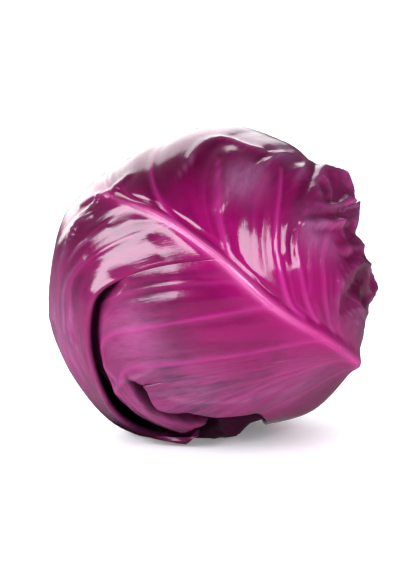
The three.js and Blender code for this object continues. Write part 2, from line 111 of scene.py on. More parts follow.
def through(values, q):
    """Smooth values through given ones, at places q counted in them (Catmull-Rom)."""
    values = np.asarray(values, float)
    padded = np.concatenate([[2 * values[0] - values[1]], values, [2 * values[-1] - values[-2]]])
    q = np.asarray(q, float)
    i = np.minimum(q.astype(int), len(values) - 2)
    t = (q - i).reshape(q.shape + (1,) * (values.ndim - 1))
    a, b, c, d = padded[i], padded[i + 1], padded[i + 2], padded[i + 3]
    curve = (2 * a - 5 * b + 4 * c - d) * t**2 + (3 * b - a - 3 * c + d) * t**3
    return 0.5 * (2 * b + (c - a) * t + curve)


def path_through(knots, count):
    dirs = toward(*np.array(knots, float).T)
    return unit(through(dirs, np.linspace(0, len(knots) - 1, count + 1)))


def nearest(points, path):
    """For each direction: millimetres to a line on the ball, and how far along it (0 to 1)."""
    best = np.full(len(points), np.inf)
    along = np.zeros(len(points))
    for i in range(len(path) - 1):
        step = path[i + 1] - path[i]
        offset = points - path[i]
        t = np.clip(offset @ step / max(step @ step, 1e-12), 0, 1)
        away = np.linalg.norm(offset - t[:, None] * step, axis=1)
        closer = away < best
        best[closer] = away[closer]
        along[closer] = ((i + t) / (len(path) - 1))[closer]
    return best * HEAD_RADIUS, along


def ridge(away, width):
    return np.exp(-((away / width) ** 2))


def spot(points, lon, lat, spread):
    angle = np.arccos(np.clip(points @ toward(lon, lat), -1, 1)) / (spread * DEG)
    return np.exp(-(angle**2))


def spots(points, places):
    """Sums soft round spots, each a longitude, a latitude, a spread in degrees and a height."""
    return sum((tall * spot(points, *place) for *place, tall in places), np.zeros(len(points)))


def head_radius(points):
    return HEAD_RADIUS + spots(points, HEAD_BULGES)


def ball_noise(points, size_mm, seed):
    """Soft noise over the ball, about -1 to 1, with lumps of the given size."""
    scale = HEAD_RADIUS / size_mm
    return np.array([noise.noise(Vector(p * scale + seed * 7.3)) for p in points])


def folds(points, size_mm, seed):
    """Sharp crests between soft hollows, 0 to 1, as a pressed leaf has."""
    return 1 - np.abs(ball_noise(points, size_mm, seed)) * 2


def row_noise(across, along, seed):
    """Soft noise, about -1 to 1, drawn out along the rows of a leaf."""
    return np.array([noise.noise(Vector((a, l, seed * 3.7))) for a, l in zip(across, along)])


print("the stem points to", toward(*STEM_AXIS).round(2))

# %% [markdown]
# ## Rows: how a leaf is laid out
# A side vein leaves the midrib at an angle, bends away from it and runs to the margin. A leaf is
# therefore laid out as rows that do the same. Each guide row is one side vein, described by where
# it starts on the midrib and how it turns, and the rows between two guides share their values in
# proportion. Because the net follows the veins, relief and colour can follow them too.

# %% Rows
# A row starts at root (0 to 1 along the midrib), at the angle sweep, and turns by bend over its first
# 100 mm; hook and end are two later turns, with where they come. Angles are degrees. Body is where
# neighbouring rows still share a column, full is the margin, and vein how strong its vein shows.
ROW_VALUES = ["root", "sweep", "bend", "hook", "hook_at", "hook_over"]
ROW_VALUES += ["end", "end_at", "vein", "body", "full"]
UNSET = {"hook_over": 30, "hook_at": 60, "end_at": 120, "vein": 1}
BEND_OVER = 100
END_OVER = 40
WALK_STEP = 1.5
ROW_START = 1.5


def guide(root, sweep, body, full, **turns):
    values = {"root": root, "sweep": sweep, "body": body, "full": full, **turns}
    return [values.get(name, UNSET.get(name, 0)) for name in ROW_VALUES]


def walk_rows(midrib, side, rows, lengths):
    """Directions at the given lengths (one line of lengths a row) of rows that leave a midrib."""
    row = dict(zip(ROW_VALUES, rows.T))
    place = np.clip(row["root"], 0, 1) * (len(midrib) - 1)
    i = np.minimum(place.astype(int), len(midrib) - 2)
    here = unit(mix(midrib[i], midrib[i + 1], (place - i)[:, None]))
    ahead = midrib[np.minimum(i + 2, len(midrib) - 1)] - midrib[np.maximum(i - 1, 0)]
    heading = unit(ahead - here * np.sum(ahead * here, 1, keepdims=True))

    def turn_by(heading, here, angle):
        angle = angle[:, None]
        return heading * np.cos(angle) + np.cross(here, heading) * np.sin(angle)

    heading = turn_by(heading, here, side * row["sweep"] * DEG)
    walked = np.zeros(len(rows))
    turned = np.zeros(len(rows))
    out = []
    for target in lengths.T:
        gap = target - walked
        steps = max(1, int(np.ceil(gap.max() / WALK_STEP)))
        for _ in range(steps):
            angle = (gap / steps / HEAD_RADIUS)[:, None]
            here, heading = (
                here * np.cos(angle) + heading * np.sin(angle),
                heading * np.cos(angle) - here * np.sin(angle),
            )
            walked = walked + gap / steps
            turn = (
                row["bend"] * np.clip(walked / BEND_OVER, 0, 1)
                + row["hook"] * smooth((walked - row["hook_at"]) / row["hook_over"])
                + row["end"] * smooth((walked - row["end_at"]) / END_OVER)
            )
            heading = turn_by(heading, here, -side * (turn - turned) * DEG)
            turned = turn
        out.append(here)
    return np.stack(out, 1)


def lay_lobe(midrib, lobe, per_guide, inner, outer):
    """The net of a lobe: directions by row and column, with each point's place in it."""
    guides = np.array(lobe["guides"], float)
    body, full = guides[:, -2:-1], guides[:, -1:]
    lengths = mix(ROW_START, body, np.linspace(0, 1, inner + 1))
    if outer:
        lengths = np.concatenate([lengths, mix(body, full, np.linspace(0, 1, outer + 1)[1:])], 1)
    q = np.linspace(0, len(guides) - 1, (len(guides) - 1) * per_guide + 1)
    laid = walk_rows(midrib, lobe["side"], guides, lengths)
    lengths = through(lengths, q)
    return {
        "points": unit(through(laid, q)),
        "q": np.repeat(q[:, None], lengths.shape[1], 1),
        "length": lengths,
        "reach": lengths / lengths[:, -1:],
        "root": through(guides[:, 0], q),
    }


print("a guide row has", len(ROW_VALUES), "values:", ", ".join(ROW_VALUES))

# %% [markdown]
# ## The front leaf
# Its midrib climbs from the stem at the lower right to the upper left. The upper half is whole. The
# lower half has two tears, as outer leaves get in the field: the outer lobe folds down over the
# middle lobe, and the low lobe lies over the middle one's end. Each lobe is a net of its own that
# shares its neighbour's row up to the tear.

# %% The front leaf's plan
FRONT_MIDRIB = path_through(
    [(103, -31), (82, -28), (47, -14), (21.5, 1), (2, 19)]
    + [(-20, 32), (-40, 36.5), (-61, 40), (-85, 43), (-108, 42)],
    60,
)
FRONT_UPPER = [
    guide(0.0, 100, 40, 66, bend=-20),
    guide(0.1, 52, 54, 92, bend=-95, vein=0.25),
    guide(0.196, 31, 64, 100, bend=-118, vein=0.1),
    guide(0.25, 30, 78, 120, bend=-120, vein=0.1),
    guide(0.272, 10, 88, 150, bend=-125, vein=0.1),
    guide(0.338, 27, 90, 150, bend=-86, vein=0.12),
    guide(0.387, 4, 95, 160, bend=-84, vein=0.1),
    guide(0.49, 6, 80, 138, bend=-70, vein=0.45),
    guide(0.583, 8, 72, 118, bend=-63, vein=0.12),
    guide(0.7, 12, 60, 98, bend=-60, vein=0.3),
    guide(0.84, 14, 48, 72, bend=-50, vein=0.12),
    guide(1.0, 0, 20, 32),
]
OUTER_TEAR = dict(root=0.433, sweep=40.5, bend=-38, hook_at=55, body=53)
INNER_TEAR = dict(root=0.187, sweep=24, bend=-44, hook=-165, hook_at=113, hook_over=7, end_at=150, body=114)
TEAR_KNEE = dict(hook_at=113, hook_over=7, end_at=150)
FRONT_OUTER_LOBE = [
    guide(**OUTER_TEAR, hook=-36, hook_over=22, end=-55, end_at=123, full=178),
    guide(0.53, 45, 51, 190, bend=-15, hook=-44, hook_at=50, hook_over=27, end=-60, end_at=130, vein=0.25),
    guide(0.63, 45, 50, 194, bend=-2, hook=-46, hook_at=44, end=-66, end_at=137, vein=0.2),
    guide(0.74, 40, 46, 200, hook=-36, hook_at=40, end=-44, end_at=128, vein=0.15),
    guide(0.87, 30, 36, 140, hook=-20, hook_at=30, end=-20, end_at=110, vein=0.1),
    guide(1.0, 0, 20, 32, hook_at=20, end_at=100),
]
FRONT_MIDDLE_LOBE = [
    guide(**INNER_TEAR, full=176),
    guide(0.231, 32, 128, 172, bend=-28, hook=-129, hook_at=100, hook_over=36, end_at=150, vein=0.5),
    guide(0.333, 42, 114, 162, bend=-15, hook=-77, hook_at=81, hook_over=28, end=-33, end_at=128, vein=0.55),
    guide(0.385, 41, 82, 118, bend=-26, hook=-36, hook_at=72, end_at=150, vein=0.3),
    guide(**OUTER_TEAR, hook=-6, end_at=150, full=90),
]
FRONT_LOW_LOBE = [
    guide(0.0, 92, 56, 56, bend=-60, **TEAR_KNEE),
    guide(0.104, 21, 73, 73, bend=-82, **TEAR_KNEE, vein=0.45),
    guide(0.145, 12, 106, 106, bend=-81, **TEAR_KNEE, vein=0.5),
    guide(0.168, 23.5, 114, 114, bend=-56, **TEAR_KNEE, vein=0.25),
    guide(**INNER_TEAR, full=114),
]
# Where the folded lobe's end turns under the head: painted shade on it.
FOLD_SHADE = [(-44, -56, 8, 1), (-58, -62, 8, 1), (-68, -67, 9, 1)]
# Where the front leaf's margin is crumpled.
CRUMPLED = [(84, 40, 16, 1), (72, 22, 13, 1), (70, 0, 11, 1), (80, -8, 10, 1)]
front_lobes = (FRONT_UPPER, FRONT_OUTER_LOBE, FRONT_MIDDLE_LOBE, FRONT_LOW_LOBE)
print("the front leaf's guide rows, lobe by lobe:", [len(guides) for guides in front_lobes])

# %% [markdown]
# ## The other two leaves
# The leaves behind are whole, so their rows follow one rule and need no hand-set list: long in the
# middle of the leaf, short at the stem and the tip, with a slightly waved margin. All three plans go
# in one table, so that the same code lays each of them.

# %% The plans of all three leaves
BODY_SHARE = 0.6
TIP_SHARE = 0.3
MARGIN_WAVE = 0.04
PLAIN_SWEEP = (104, 8)
PLAIN_BEND = -52
BACK_MIDRIB = [(129, -15), (146, 3), (166, 19), (-174, 31), (-152, 37), (-128, 39)]
UNDER_MIDRIB = [(122, -41), (146, -60), (-170, -66), (-126, -58), (-100, -42), (-88, -22)]


def plain_rows(count, width, narrow):
    """The guide rows of one half of a whole leaf that is width mm wide there, times narrow."""
    guides = []
    for u in np.linspace(0, 1, count):
        round_off = np.sin(np.pi * mix(0.2, 0.93, u)) ** 0.6
        reach = width * narrow * round_off * (1 + MARGIN_WAVE * np.sin(9.1 * u + narrow * 7))
        full = width * TIP_SHARE if u == 1 else reach
        sweep, bend = mix(*PLAIN_SWEEP, u**0.5), PLAIN_BEND * np.sin(np.pi * u)
        vein = 0.32 + 0.16 * np.sin(5.3 * u + narrow * 11)
        guides.append(guide(u**1.15, sweep, full * BODY_SHARE, full, bend=bend, vein=vein))
    return guides


# A lobe has a side of the midrib, its guide rows, how many rows run from one guide to the next, how
# many columns it has to the body and from there to the margin, and where its strands start counting.
LEAVES = {
    "leaf_front": {
        "midrib": FRONT_MIDRIB,
        "lobes": [
            {"side": -1, "guides": FRONT_UPPER, "per": 14, "cols": (90, 60), "strand": 20},
            {"side": 1, "guides": FRONT_OUTER_LOBE, "per": 14, "cols": (75, 35), "strand": 8}
            | {"lifted": True, "shaded": FOLD_SHADE},
            {"side": 1, "guides": FRONT_MIDDLE_LOBE, "per": 14, "cols": (75, 35), "strand": 4, "under": True},
            {"side": 1, "guides": FRONT_LOW_LOBE, "per": 16, "cols": (75, 0), "strand": 0, "low": True},
        ],
        "rib_end": 0.3,
        "crumpled": CRUMPLED,
        "seed": 1,
    },
    "leaf_back": {
        "midrib": path_through(BACK_MIDRIB, 40),
        "size": (116, 1, 1.08),
        "seed": 2,
    },
    "leaf_under": {
        "midrib": path_through(UNDER_MIDRIB, 40),
        "size": (112, 1, 1.22),
        "seed": 3,
    },
}
for leaf in LEAVES.values():
    if "lobes" not in leaf:
        width, *narrows = leaf["size"]
        plain = {"per": 12, "cols": (50, 32)}
        leaf["lobes"] = [
            {"side": side, "guides": plain_rows(9, width, narrow), "strand": 10 * side, **plain}
            for side, narrow in zip((-1, 1), narrows)
        ]
print("guide rows:", {name: sum(len(l["guides"]) for l in leaf["lobes"]) for name, leaf in LEAVES.items()})

# %% [markdown]
# ## What covers what
# The front leaf lies outermost, then the back leaf, the under leaf and the heart. A leaf has to lie
# deeper wherever another covers it. To know where that is, each leaf's outline is laid flat, seen
# from the point opposite its middle, and tested like any flat outline.

# %% Covers


def coarse_nets(leaf):
    return [lay_lobe(leaf["midrib"], lobe, 2, 12, 6 if lobe["cols"][1] else 0) for lobe in leaf["lobes"]]


def turn_to_pole(middle):
    """A rotation that brings a direction to +Z."""
    side = unit(np.cross([0.3, 0.5, 0.81], middle))
    return np.stack([side, np.cross(middle, side), middle])


def flatten(points, cover):
    p = points @ cover["turn"].T
    return p[:, :2] / (1 + p[:, 2:])


def cover_of(line, middle):
    line = np.concatenate([line, line[:1]])
    cover = {"line": line, "turn": turn_to_pole(unit(middle))}
    cover["flat"] = flatten(line, cover)
    return cover


def inset_in(points, cover):
    """Millimetres inside a cover; negative outside it."""
    flat = flatten(points, cover)
    inside = np.zeros(len(points), bool)
    for (ax, ay), (bx, by) in zip(cover["flat"][:-1], cover["flat"][1:]):
        crosses = (ay > flat[:, 1]) != (by > flat[:, 1])
        if by != ay:
            inside ^= crosses & (flat[:, 0] < ax + (bx - ax) * (flat[:, 1] - ay) / (by - ay))
    away, _ = nearest(points, cover["line"])
    return np.where(inside, away, -away)


covers = {}
for name, leaf in LEAVES.items():
    nets = [net["points"] for net in coarse_nets(leaf)]
    lower = [nets[1], nets[3]] if len(nets) > 2 else [nets[1]]
    down = [net[::-1, -1] for net in lower]
    line = np.concatenate([nets[0][0], nets[0][:, -1], *down, lower[-1][0, ::-1]])
    covers[name] = cover_of(line, leaf["midrib"][len(leaf["midrib"]) // 2])
    if name == "leaf_front":
        outer, middle, low = nets[1:]
        # The edge of each tear, the folded lobe's lip first.
        leaf["seams"] = [outer[0], middle[0]]
        outer_line = np.concatenate([outer[0], outer[:, -1], leaf["midrib"][:31:-1]])
        covers["outer_lobe"] = cover_of(outer_line, toward(-85, 10))
        low_line = np.concatenate([low[0], low[:, -1], low[-1, ::-1], leaf["midrib"][12::-1]])
        covers["low_lobe"] = cover_of(low_line, toward(35, -35))
print("covers:", ", ".join(covers))

# %% [markdown]
# ## Relief
# On a cabbage leaf the ribs stand out on the outside, because the outside is the leaf's back. The
# midrib is widest and highest at the stem. Between the veins the blade swells, and where the head
# was pressed in its crate it is creased. Each of these is a height over a line on the ball, so all
# of it comes from how far a point lies from that line.

# %% Relief sizes
# A pair is the size at the stem and at the tip, or at the midrib and at the margin.
MIDRIB_HEIGHT = (3.8, 1.2)
MIDRIB_WIDTH = (4.6, 2.0)
MIDRIB_BASE = (1.9, 0.5)
MIDRIB_SPREAD = (11.0, 5.0)
MIDRIB_GROOVE = 1.1
GROOVE_WIDTH = 1.5
VEIN_HEIGHT = (1.5, 0.7)
VEIN_WIDTH = (2.5, 1.5)
FAINT_VEIN = 0.1
PUCKER = 1.1
PUCKER_REACH = 11.0
SEAM_CALM = 9.0
WAVE_HEIGHT = 1.3
# How high they stand and how far apart: pressed facets, soft lumps, crumples and long wrinkles.
FACET, FACET_SIZE = 0.8, 34
LUMP, LUMP_SIZE = 0.28, 14
CRUMPLE, CRUMPLE_SIZE = 2.2, 15
WRINKLE, WRINKLE_LENGTH = 0.08, 26
RELIEF_FLOOR = -1.5
COVERED_RELIEF = 0.3
print("the midrib stands", MIDRIB_HEIGHT[0] + MIDRIB_BASE[0], "mm high at the stem")

# %% [markdown]
# ## Creases and thin veins
# A leaf that grew pressed against others is never smooth. Sculpting would do it once, for one mesh.
# A list of lines can be drawn again at any fineness, so each crease and each thin vein between the
# guide rows is a short list of directions that a smooth curve runs through.

# %% Creases and thin veins
# Each crease is a line of directions, its height (negative is a fold inwards) and half width.
FRONT_CREASES = [
    ([(-11, 57), (-3, 68), (21, 71), (34, 63), (57, 57), (81, 55)], 1.8, 2.6),
    ([(4, 36), (11, 43), (23, 50)], 2.4, 3.0),
    ([(-3, 68), (-11, 57), (-16, 48)], 1.0, 2.0),
    ([(44, 38), (52, 42), (62, 44.5), (83, 48)], -3.6, 2.4),
    ([(46, 44), (58, 48), (76, 51)], 1.6, 3.0),
    ([(59, 38), (64, 43), (78, 46), (90, 44), (96, 37), (95, 30)], 3.2, 3.4),
    ([(59, 36.5), (66, 34.5), (78, 34), (92, 36)], -2.2, 1.9),
    ([(53, 35), (61, 32.5), (74, 32), (86, 33)], 1.6, 1.6),
    ([(43, 31), (54, 30.2), (66, 29), (90, 27)], -3.6, 1.9),
    ([(41, 28.6), (52, 27.6), (62, 26.6), (80, 24.5)], 2.0, 1.7),
    ([(46, 25), (58, 24), (68, 23)], -2.0, 1.8),
    ([(57, 21), (68, 20), (80, 19.5), (94, 18)], -3.2, 2.2),
    ([(60, 17), (74, 15), (88, 14)], 1.8, 2.4),
    ([(69, 5), (63, 3), (59, 0), (56, -5)], -4.6, 2.6),
    ([(52, -5), (51.5, 1), (55, 7), (63, 10.5)], 2.6, 2.0),
    ([(63, 10.5), (76, 9), (87, 4), (88, -3), (76, -6)], 3.4, 2.8),
    ([(56, -7), (64, -5.5), (74, -7)], 1.6, 1.8),
    ([(-43, 26.6), (-50, 21.5), (-57, 17), (-61, 12)], 1.0, 1.5),
    ([(-56, 30), (-63, 25), (-65, 16), (-70, 7)], 1.8, 1.7),
    ([(-57, 37.6), (-58, 33.7), (-64, 27.6)], 1.5, 1.6),
    ([(-48, 48), (-51, 41), (-53, 38), (-61, 36.5), (-71, 32.5)], 1.6, 2.0),
    ([(41, 30), (35, 26), (32, 20.6), (31.7, 15.5)], -1.5, 1.3),
    ([(29, 52.5), (39.5, 54.5), (54, 56.7), (62, 57)], 2.0, 1.7),
    ([(29, 55.5), (42, 59), (56, 61)], -1.6, 2.0),
    ([(56, 21), (60.5, 19), (66, 19.5)], -2.2, 2.4),
    ([(57.6, 14.6), (62, 13), (66, 13.3)], -2.4, 2.2),
    ([(55.6, 25), (62, 26), (72, 25)], 1.8, 1.6),
    ([(-54, -1), (-59, -9.6), (-67, -15.7)], 1.2, 1.6),
    ([(-52, 14), (-60, 2), (-60, -14), (-52, -20)], 1.3, 2.4),
    ([(-60, -14), (-70, -10), (-84, -12)], 1.3, 2.2),
    ([(-60, -14), (-55, -5), (-56, 4)], 0.9, 2.0),
    ([(-51, -41), (-39, -31), (-22, -23)], 1.5, 2.0),
    ([(-44, -24), (-39, -31)], 1.3, 1.8),
    ([(-20, -33), (-4, -37), (18, -36)], 0.8, 2.4),
]
# Thin veins between the guide rows, each a line of directions and a strength.
EXTRA_VEINS = [
    ([(63, -19), (53.6, -10), (51.3, 0), (52.4, 8.5), (56.7, 12), (65, 15)], 0.5),
    (
        [(51, -12), (47.7, -7.7), (45, 1), (45, 8), (45.8, 14.8), (49, 19.6)]
        + [(53.3, 23.2), (60, 25.7), (73, 25.3)],
        0.65,
    ),
    (
        [(41.4, -6.7), (38.2, -2.7), (35.4, 4.4), (34.5, 11.6), (34.3, 19.5)]
        + [(34.7, 23.5), (38.4, 28.4), (46, 33.4)],
        0.75,
    ),
    (
        [(34.4, -4.4), (30.5, -1), (28, 3.3), (26.3, 9.9), (25.6, 16.7), (25.6, 22.1)]
        + [(29.1, 32.3), (36.3, 42.7), (45, 51)],
        1.0,
    ),
    (
        [(25.8, -0.6), (19.1, 4.4), (15.4, 9.5), (9.6, 15.7), (6.6, 20.4)]
        + [(4.6, 31.1), (4.1, 38.6), (4.9, 46.1), (6.4, 58)],
        0.9,
    ),
    ([(53.2, -11.9), (49.8, -7), (48.2, 0), (48.6, 6.5), (50.6, 11.3)], 0.35),
    ([(32.6, -2.7), (31, 2.7), (30, 9.3), (29.5, 15.9)], 0.35),
    ([(36.5, 1.3), (39.3, 11.9), (41.5, 20.9), (46.8, 27.9)], 0.35),
]
UNDER_CREASES = [
    ([(-10, -62), (4, -57), (16, -60), (30, -56)], 1.6, 2.4),
    ([(-4, -68), (10, -64), (24, -66), (42, -60)], -1.8, 2.4),
    ([(20, -72), (34, -66), (52, -64)], 1.4, 2.2),
]
BACK_CREASES = [
    ([(172, 52), (-176, 44), (-160, 46)], 1.0, 2.4),
    ([(140, 40), (150, 30), (158, 34)], 0.8, 2.2),
]


def creases_of(lines):
    return [(path_through(knots, 14), height, width) for knots, height, width in lines]


LEAVES["leaf_front"]["creases"] = creases_of(FRONT_CREASES)
LEAVES["leaf_under"]["creases"] = creases_of(UNDER_CREASES)
LEAVES["leaf_back"]["creases"] = creases_of(BACK_CREASES)
LEAVES["leaf_front"]["extra_veins"] = [(path_through(knots, 20), strength) for knots, strength in EXTRA_VEINS]
print("creases:", {name: len(leaf["creases"]) for name, leaf in LEAVES.items()})
print("thin veins:", len(EXTRA_VEINS))

# %% [markdown]
# ## Where the skin differs
# A head isn't one colour. Whitish wax bloom stays where nothing rubbed it off, and the same spots
# lay a painted sheen where reflected light would lie on the wax. The blade is darker in some spots,
# young tissue is hot magenta near the midrib, and painted shade lies on what is folded away or turns
# under the head. Each of these is a few soft round spots, stored with the corners, so it needs no image.

# %% Tints
# Longitude, latitude, spread in degrees and strength.
TINTS = {
    # Wax bloom, and a painted sheen where reflected light would lie on the wax.
    "bloom_and_sheen": [
        (-74, -16, 24, 1.0), (-28, -4, 12, 0.4), (-26, -16, 14, 0.5), (-40, -44, 14, 0.6),
        (-4, -34, 18, 0.7), (34, -34, 16, 0.6), (64, -22, 20, 0.5), (84, 30, 18, 0.6),
        (50, 24, 10, 0.7), (44, 24, 8, 0.6), (17, 46, 8, 0.9), (26, 52, 6, 0.6),
        (64, 61, 10, 0.9), (180, 10, 50, 0.4),
    ],
    # Darker spots; the valleys of creases and crumples add painted shade to this tint.
    "deep": [
        (-22, 56, 17, 0.8), (-42, 42, 14, 0.7), (-56, 46, 12, 0.6), (14, 56, 13, 0.5),
        (-52, 27, 12, 0.5), (-66, 17, 13, 0.8), (-60, 34, 10, 0.5), (67, 1, 12, 0.7),
        (-10, -8, 8, 0.35), (-22, 8, 7, 0.5), (-3, 5, 8, 0.35), (-14, -10, 7, 0.4),
        (62, -24, 16, 0.4),
    ],
    # Painted shade where the leaves turn under the head, toward the table.
    "painted_shade": [
        (-75, -59, 8, 0.9), (-70, -67, 8, 1.0), (-60, -74, 9, 1.0), (-40, -70, 10, 1.0),
        (20, -58, 9, 0.5),
    ],
    "hot": [
        (36, 6, 20, 0.8), (84, 36, 14, 0.6), (58, 24, 10, 0.7), (18, 20, 16, 0.6),
        (-4, 8, 12, 0.5), (-4, 36, 12, 0.4), (36, -16, 14, 0.4),
    ],
}


def tint_at(points, places):
    return np.clip(spots(points, places), 0, 1)


print("spots:", {tint: len(places) for tint, places in TINTS.items()})

# %% [markdown]
# ## Height from ribs, veins and creases
# The midrib and the veins are ridges with a bell-shaped section, and the highest one wins, so that
# they merge where they meet. Creases add to that. Their valleys and crests are kept as masks for the
# finish, which paints shade into the valleys and a whitish painted highlight along the crests.

# %% Ribs, veins and creases


def vein_lines(leaf, lobe):
    """Each inner guide row of a lobe, as a line on the ball, and how strong its vein is."""
    guides = np.array(lobe["guides"][1:-1], float)
    lengths = guides[:, -1:] * np.linspace(0.01, 1, 24)
    lines = walk_rows(leaf["midrib"], lobe["side"], guides, lengths)
    drawn = list(zip(lines, guides[:, ROW_VALUES.index("vein")]))
    return drawn + (leaf.get("extra_veins", []) if lobe["side"] < 0 else [])


def rib_height(leaf, lobe, away, along, width):
    """The midrib on its broad base, with a groove beside it on the upper half."""
    fading = mix(1.0, leaf.get("rib_end", 1.0), smooth((along - 0.36) / 0.26))
    height = fading * mix(*MIDRIB_HEIGHT, along**0.7) * ridge(away, width)
    height += mix(*MIDRIB_BASE, along**0.7) * ridge(away, mix(*MIDRIB_SPREAD, along))
    if lobe["side"] < 0:
        height -= MIDRIB_GROOVE * ridge(away - width * 1.7, GROOVE_WIDTH) * np.sin(np.pi * along) ** 2
    return height


def with_veins(leaf, lobe, points, height, clear):
    """The height with side veins on it, where they run, and millimetres clear of every rib."""
    vein = np.zeros(len(points))
    for line, strength in vein_lines(leaf, lobe):
        away, along = nearest(points, line)
        width = mix(*VEIN_WIDTH, along) * (0.5 + 0.5 * strength)
        tall = mix(*VEIN_HEIGHT, along) * mix(FAINT_VEIN, 1, strength)
        height = np.maximum(height, tall * ridge(away, width))
        vein = np.maximum(vein, strength * ridge(away, width * 0.7) * mix(1.0, 0.5, along**2))
        clear = np.minimum(clear, away)
    return height, vein, clear


def creased(leaf, points):
    """The height of the creases, and how far a point lies in a valley or on a crest (0 to 1)."""
    height, valley, crest = np.zeros((3, len(points)))
    for line, tall, width in leaf["creases"]:
        away, along = nearest(points, line)
        inner_part = np.sin(np.pi * mix(0.1, 0.9, along))
        height += tall * np.exp(-((away / width) ** 1.35)) * mix(0.35, 1, inner_part)
        if tall < 0:
            valley = np.maximum(valley, ridge(away, width) * inner_part)
        else:
            crest = np.maximum(crest, ridge(away, width * 0.6) * inner_part)
    return height, valley, crest


front = LEAVES["leaf_front"]
print("veins of the front leaf's lobes:", [len(vein_lines(front, lobe)) for lobe in front["lobes"]])

# %% Relief of a lobe
MASKS = ["rib", "rib_glow", "rib_along", "vein", "clear", "length", "strand", *TINTS]


def relief_of(leaf, lobe, net):
    """Height over the leaf's own level, with the masks that the finish uses."""
    points = net["points"].reshape(-1, 3)
    length, reach, q = (net[key].reshape(-1) for key in ("length", "reach", "q"))
    rib_away, rib_along = nearest(points, leaf["midrib"])
    rib_width = mix(*MIDRIB_WIDTH, rib_along**0.6)
    height = rib_height(leaf, lobe, rib_away, rib_along, rib_width)
    height, vein, clear = with_veins(leaf, lobe, points, height, rib_away)
    # The blade swells between veins, but stays calm along the tears, where two lobes have to meet.
    calm = np.ones(len(points))
    if "seams" in leaf and lobe["side"] > 0:
        calm = smooth(np.min([nearest(points, seam)[0] for seam in leaf["seams"]], 0) / SEAM_CALM)
    blade = PUCKER * (0.5 - ridge(clear, PUCKER_REACH))
    blade += FACET * folds(points, FACET_SIZE, leaf["seed"] + 5) * smooth(clear / 8)
    blade += WRINKLE * row_noise(q * 3.1, length / WRINKLE_LENGTH, leaf["seed"]) * smooth(clear / 5)
    height += calm * blade
    height += LUMP * ball_noise(points, LUMP_SIZE, leaf["seed"]) * smooth(clear / 9)
    height += WAVE_HEIGHT * smooth((reach - 0.7) / 0.3) * np.sin(q * 4.1 + leaf["seed"] * 2)

    creases, valley, crest = creased(leaf, points)
    crumpled = np.clip(spots(points, leaf.get("crumpled", [])), 0, 1)
    crumples = folds(points, CRUMPLE_SIZE, 11)
    height += creases + CRUMPLE * crumpled * (crumples - 0.3) * smooth(rib_away / 12)
    valley = np.maximum(valley, crumpled * smooth((0.62 - crumples) / 0.4))
    crest = np.maximum(crest, crumpled * smooth((crumples - 0.86) / 0.12))
    tints = {tint: tint_at(points, places) for tint, places in TINTS.items()}
    # Painted shade: the valleys of creases and crumples darken the blade.
    tints["deep"] = np.clip(tints["deep"] + 0.5 * valley, 0, 1)
    # Painted highlight: crests get whitish bloom, and the valleys lose some of it.
    tints["bloom_and_sheen"] = np.clip(tints["bloom_and_sheen"] * (1 - 0.7 * valley) + 0.6 * crest, 0, 1)
    return {
        "height": np.maximum(height, RELIEF_FLOOR),
        "rib": ridge(rib_away, rib_width * 0.6) * mix(1.0, 0.12, smooth((rib_along - 0.42) / 0.36)),
        "rib_glow": ridge(rib_away, mix(11, 4.5, rib_along)) * mix(1.0, 0.35, rib_along),
        "rib_along": rib_along,
        "vein": vein,
        "clear": clear,
        "length": length,
        "strand": q + lobe["strand"],
        **tints,
    }


print("masks:", ", ".join(MASKS))

# %% [markdown]
# ## Layers
# How deep a leaf lies at a point follows from what covers it, and the folded lobe's rolled lip is
# lifted off the lobe below it, which makes the dark gap. The floor stops what would go through it:
# the under leaf is flat there, and that is what the head rests on.

# %% Layers
UNDER_LEAF_SINK = 10.0
# Where the under leaf swells out again and shows below the front one.
UNDER_SWELLS = [(-62, -62, 15, 2.5), (-28, -60, 8, 5.5), (38, -57, 14, 7), (-38, -76, 11, 7.5)]
# How deep the middle lobe is tucked under the outer one, and its tail under the low one.
TUCKED_SINK = 4.5
TAIL_SINK = 7.0
# How far the folded lobe stands off the lobe below it, and how much more at its rolled lip.
LIP_LIFT = (1.6, 2.6)
LIP_REACH = 9.0
LOW_EDGE_LIFT = 2.6
# A covered leaf starts to sink this far outside the cover's margin, and eases in over this much.
MARGIN_EASE = 14.0
MARGIN_CLEAR = 4.0
REST_RADIUS = 26.0
FRONT_CLEARANCE = 0.25
UNDER_RAISED = 2.4


def sink_at(name, lobe, points, length):
    """How far a leaf lies below the head's own surface, in millimetres."""

    def under(cover):
        return smooth((inset_in(points, covers[cover]) + MARGIN_CLEAR + MARGIN_EASE) / MARGIN_EASE)

    if name == "leaf_back":
        return UNDERLAP_SINK * under("leaf_front")
    if name == "leaf_under":
        front = under("leaf_front")
        by_back = UNDERLAP_SINK * under("leaf_back") * (1 - 0.5 * front)
        return (UNDER_LEAF_SINK - spots(points, UNDER_SWELLS)) * front + by_back
    if not lobe.get("under"):
        return np.zeros(len(points))
    torn = smooth((length - OUTER_TEAR["body"] + 6) / 16)
    tucked = TUCKED_SINK * torn * smooth((inset_in(points, covers["outer_lobe"]) + 6) / 10)
    tail = TAIL_SINK * smooth((inset_in(points, covers["low_lobe"]) + 10.5) / 3.5)
    return np.maximum(tucked, tail * smooth((length - INNER_TEAR["body"]) / 8))


def lift_at(lobe, points, net):
    """How far a lobe's edge is lifted off the lobe below it."""
    length, reach, q = (net[key].reshape(-1) for key in ("length", "reach", "q"))
    if lobe.get("low"):
        return LOW_EDGE_LIFT * smooth((reach - 0.86) / 0.14) * smooth((q - 1.5) / 1.5)
    if not lobe.get("lifted"):
        return np.zeros(len(points))
    away, _ = nearest(points, LEAVES["leaf_front"]["seams"][0])
    past = smooth((length - OUTER_TEAR["body"]) / 20)
    fade = 1 - smooth((away - 25) / 22)
    return past * fade * (LIP_LIFT[0] + LIP_LIFT[1] * ridge(away, LIP_REACH))


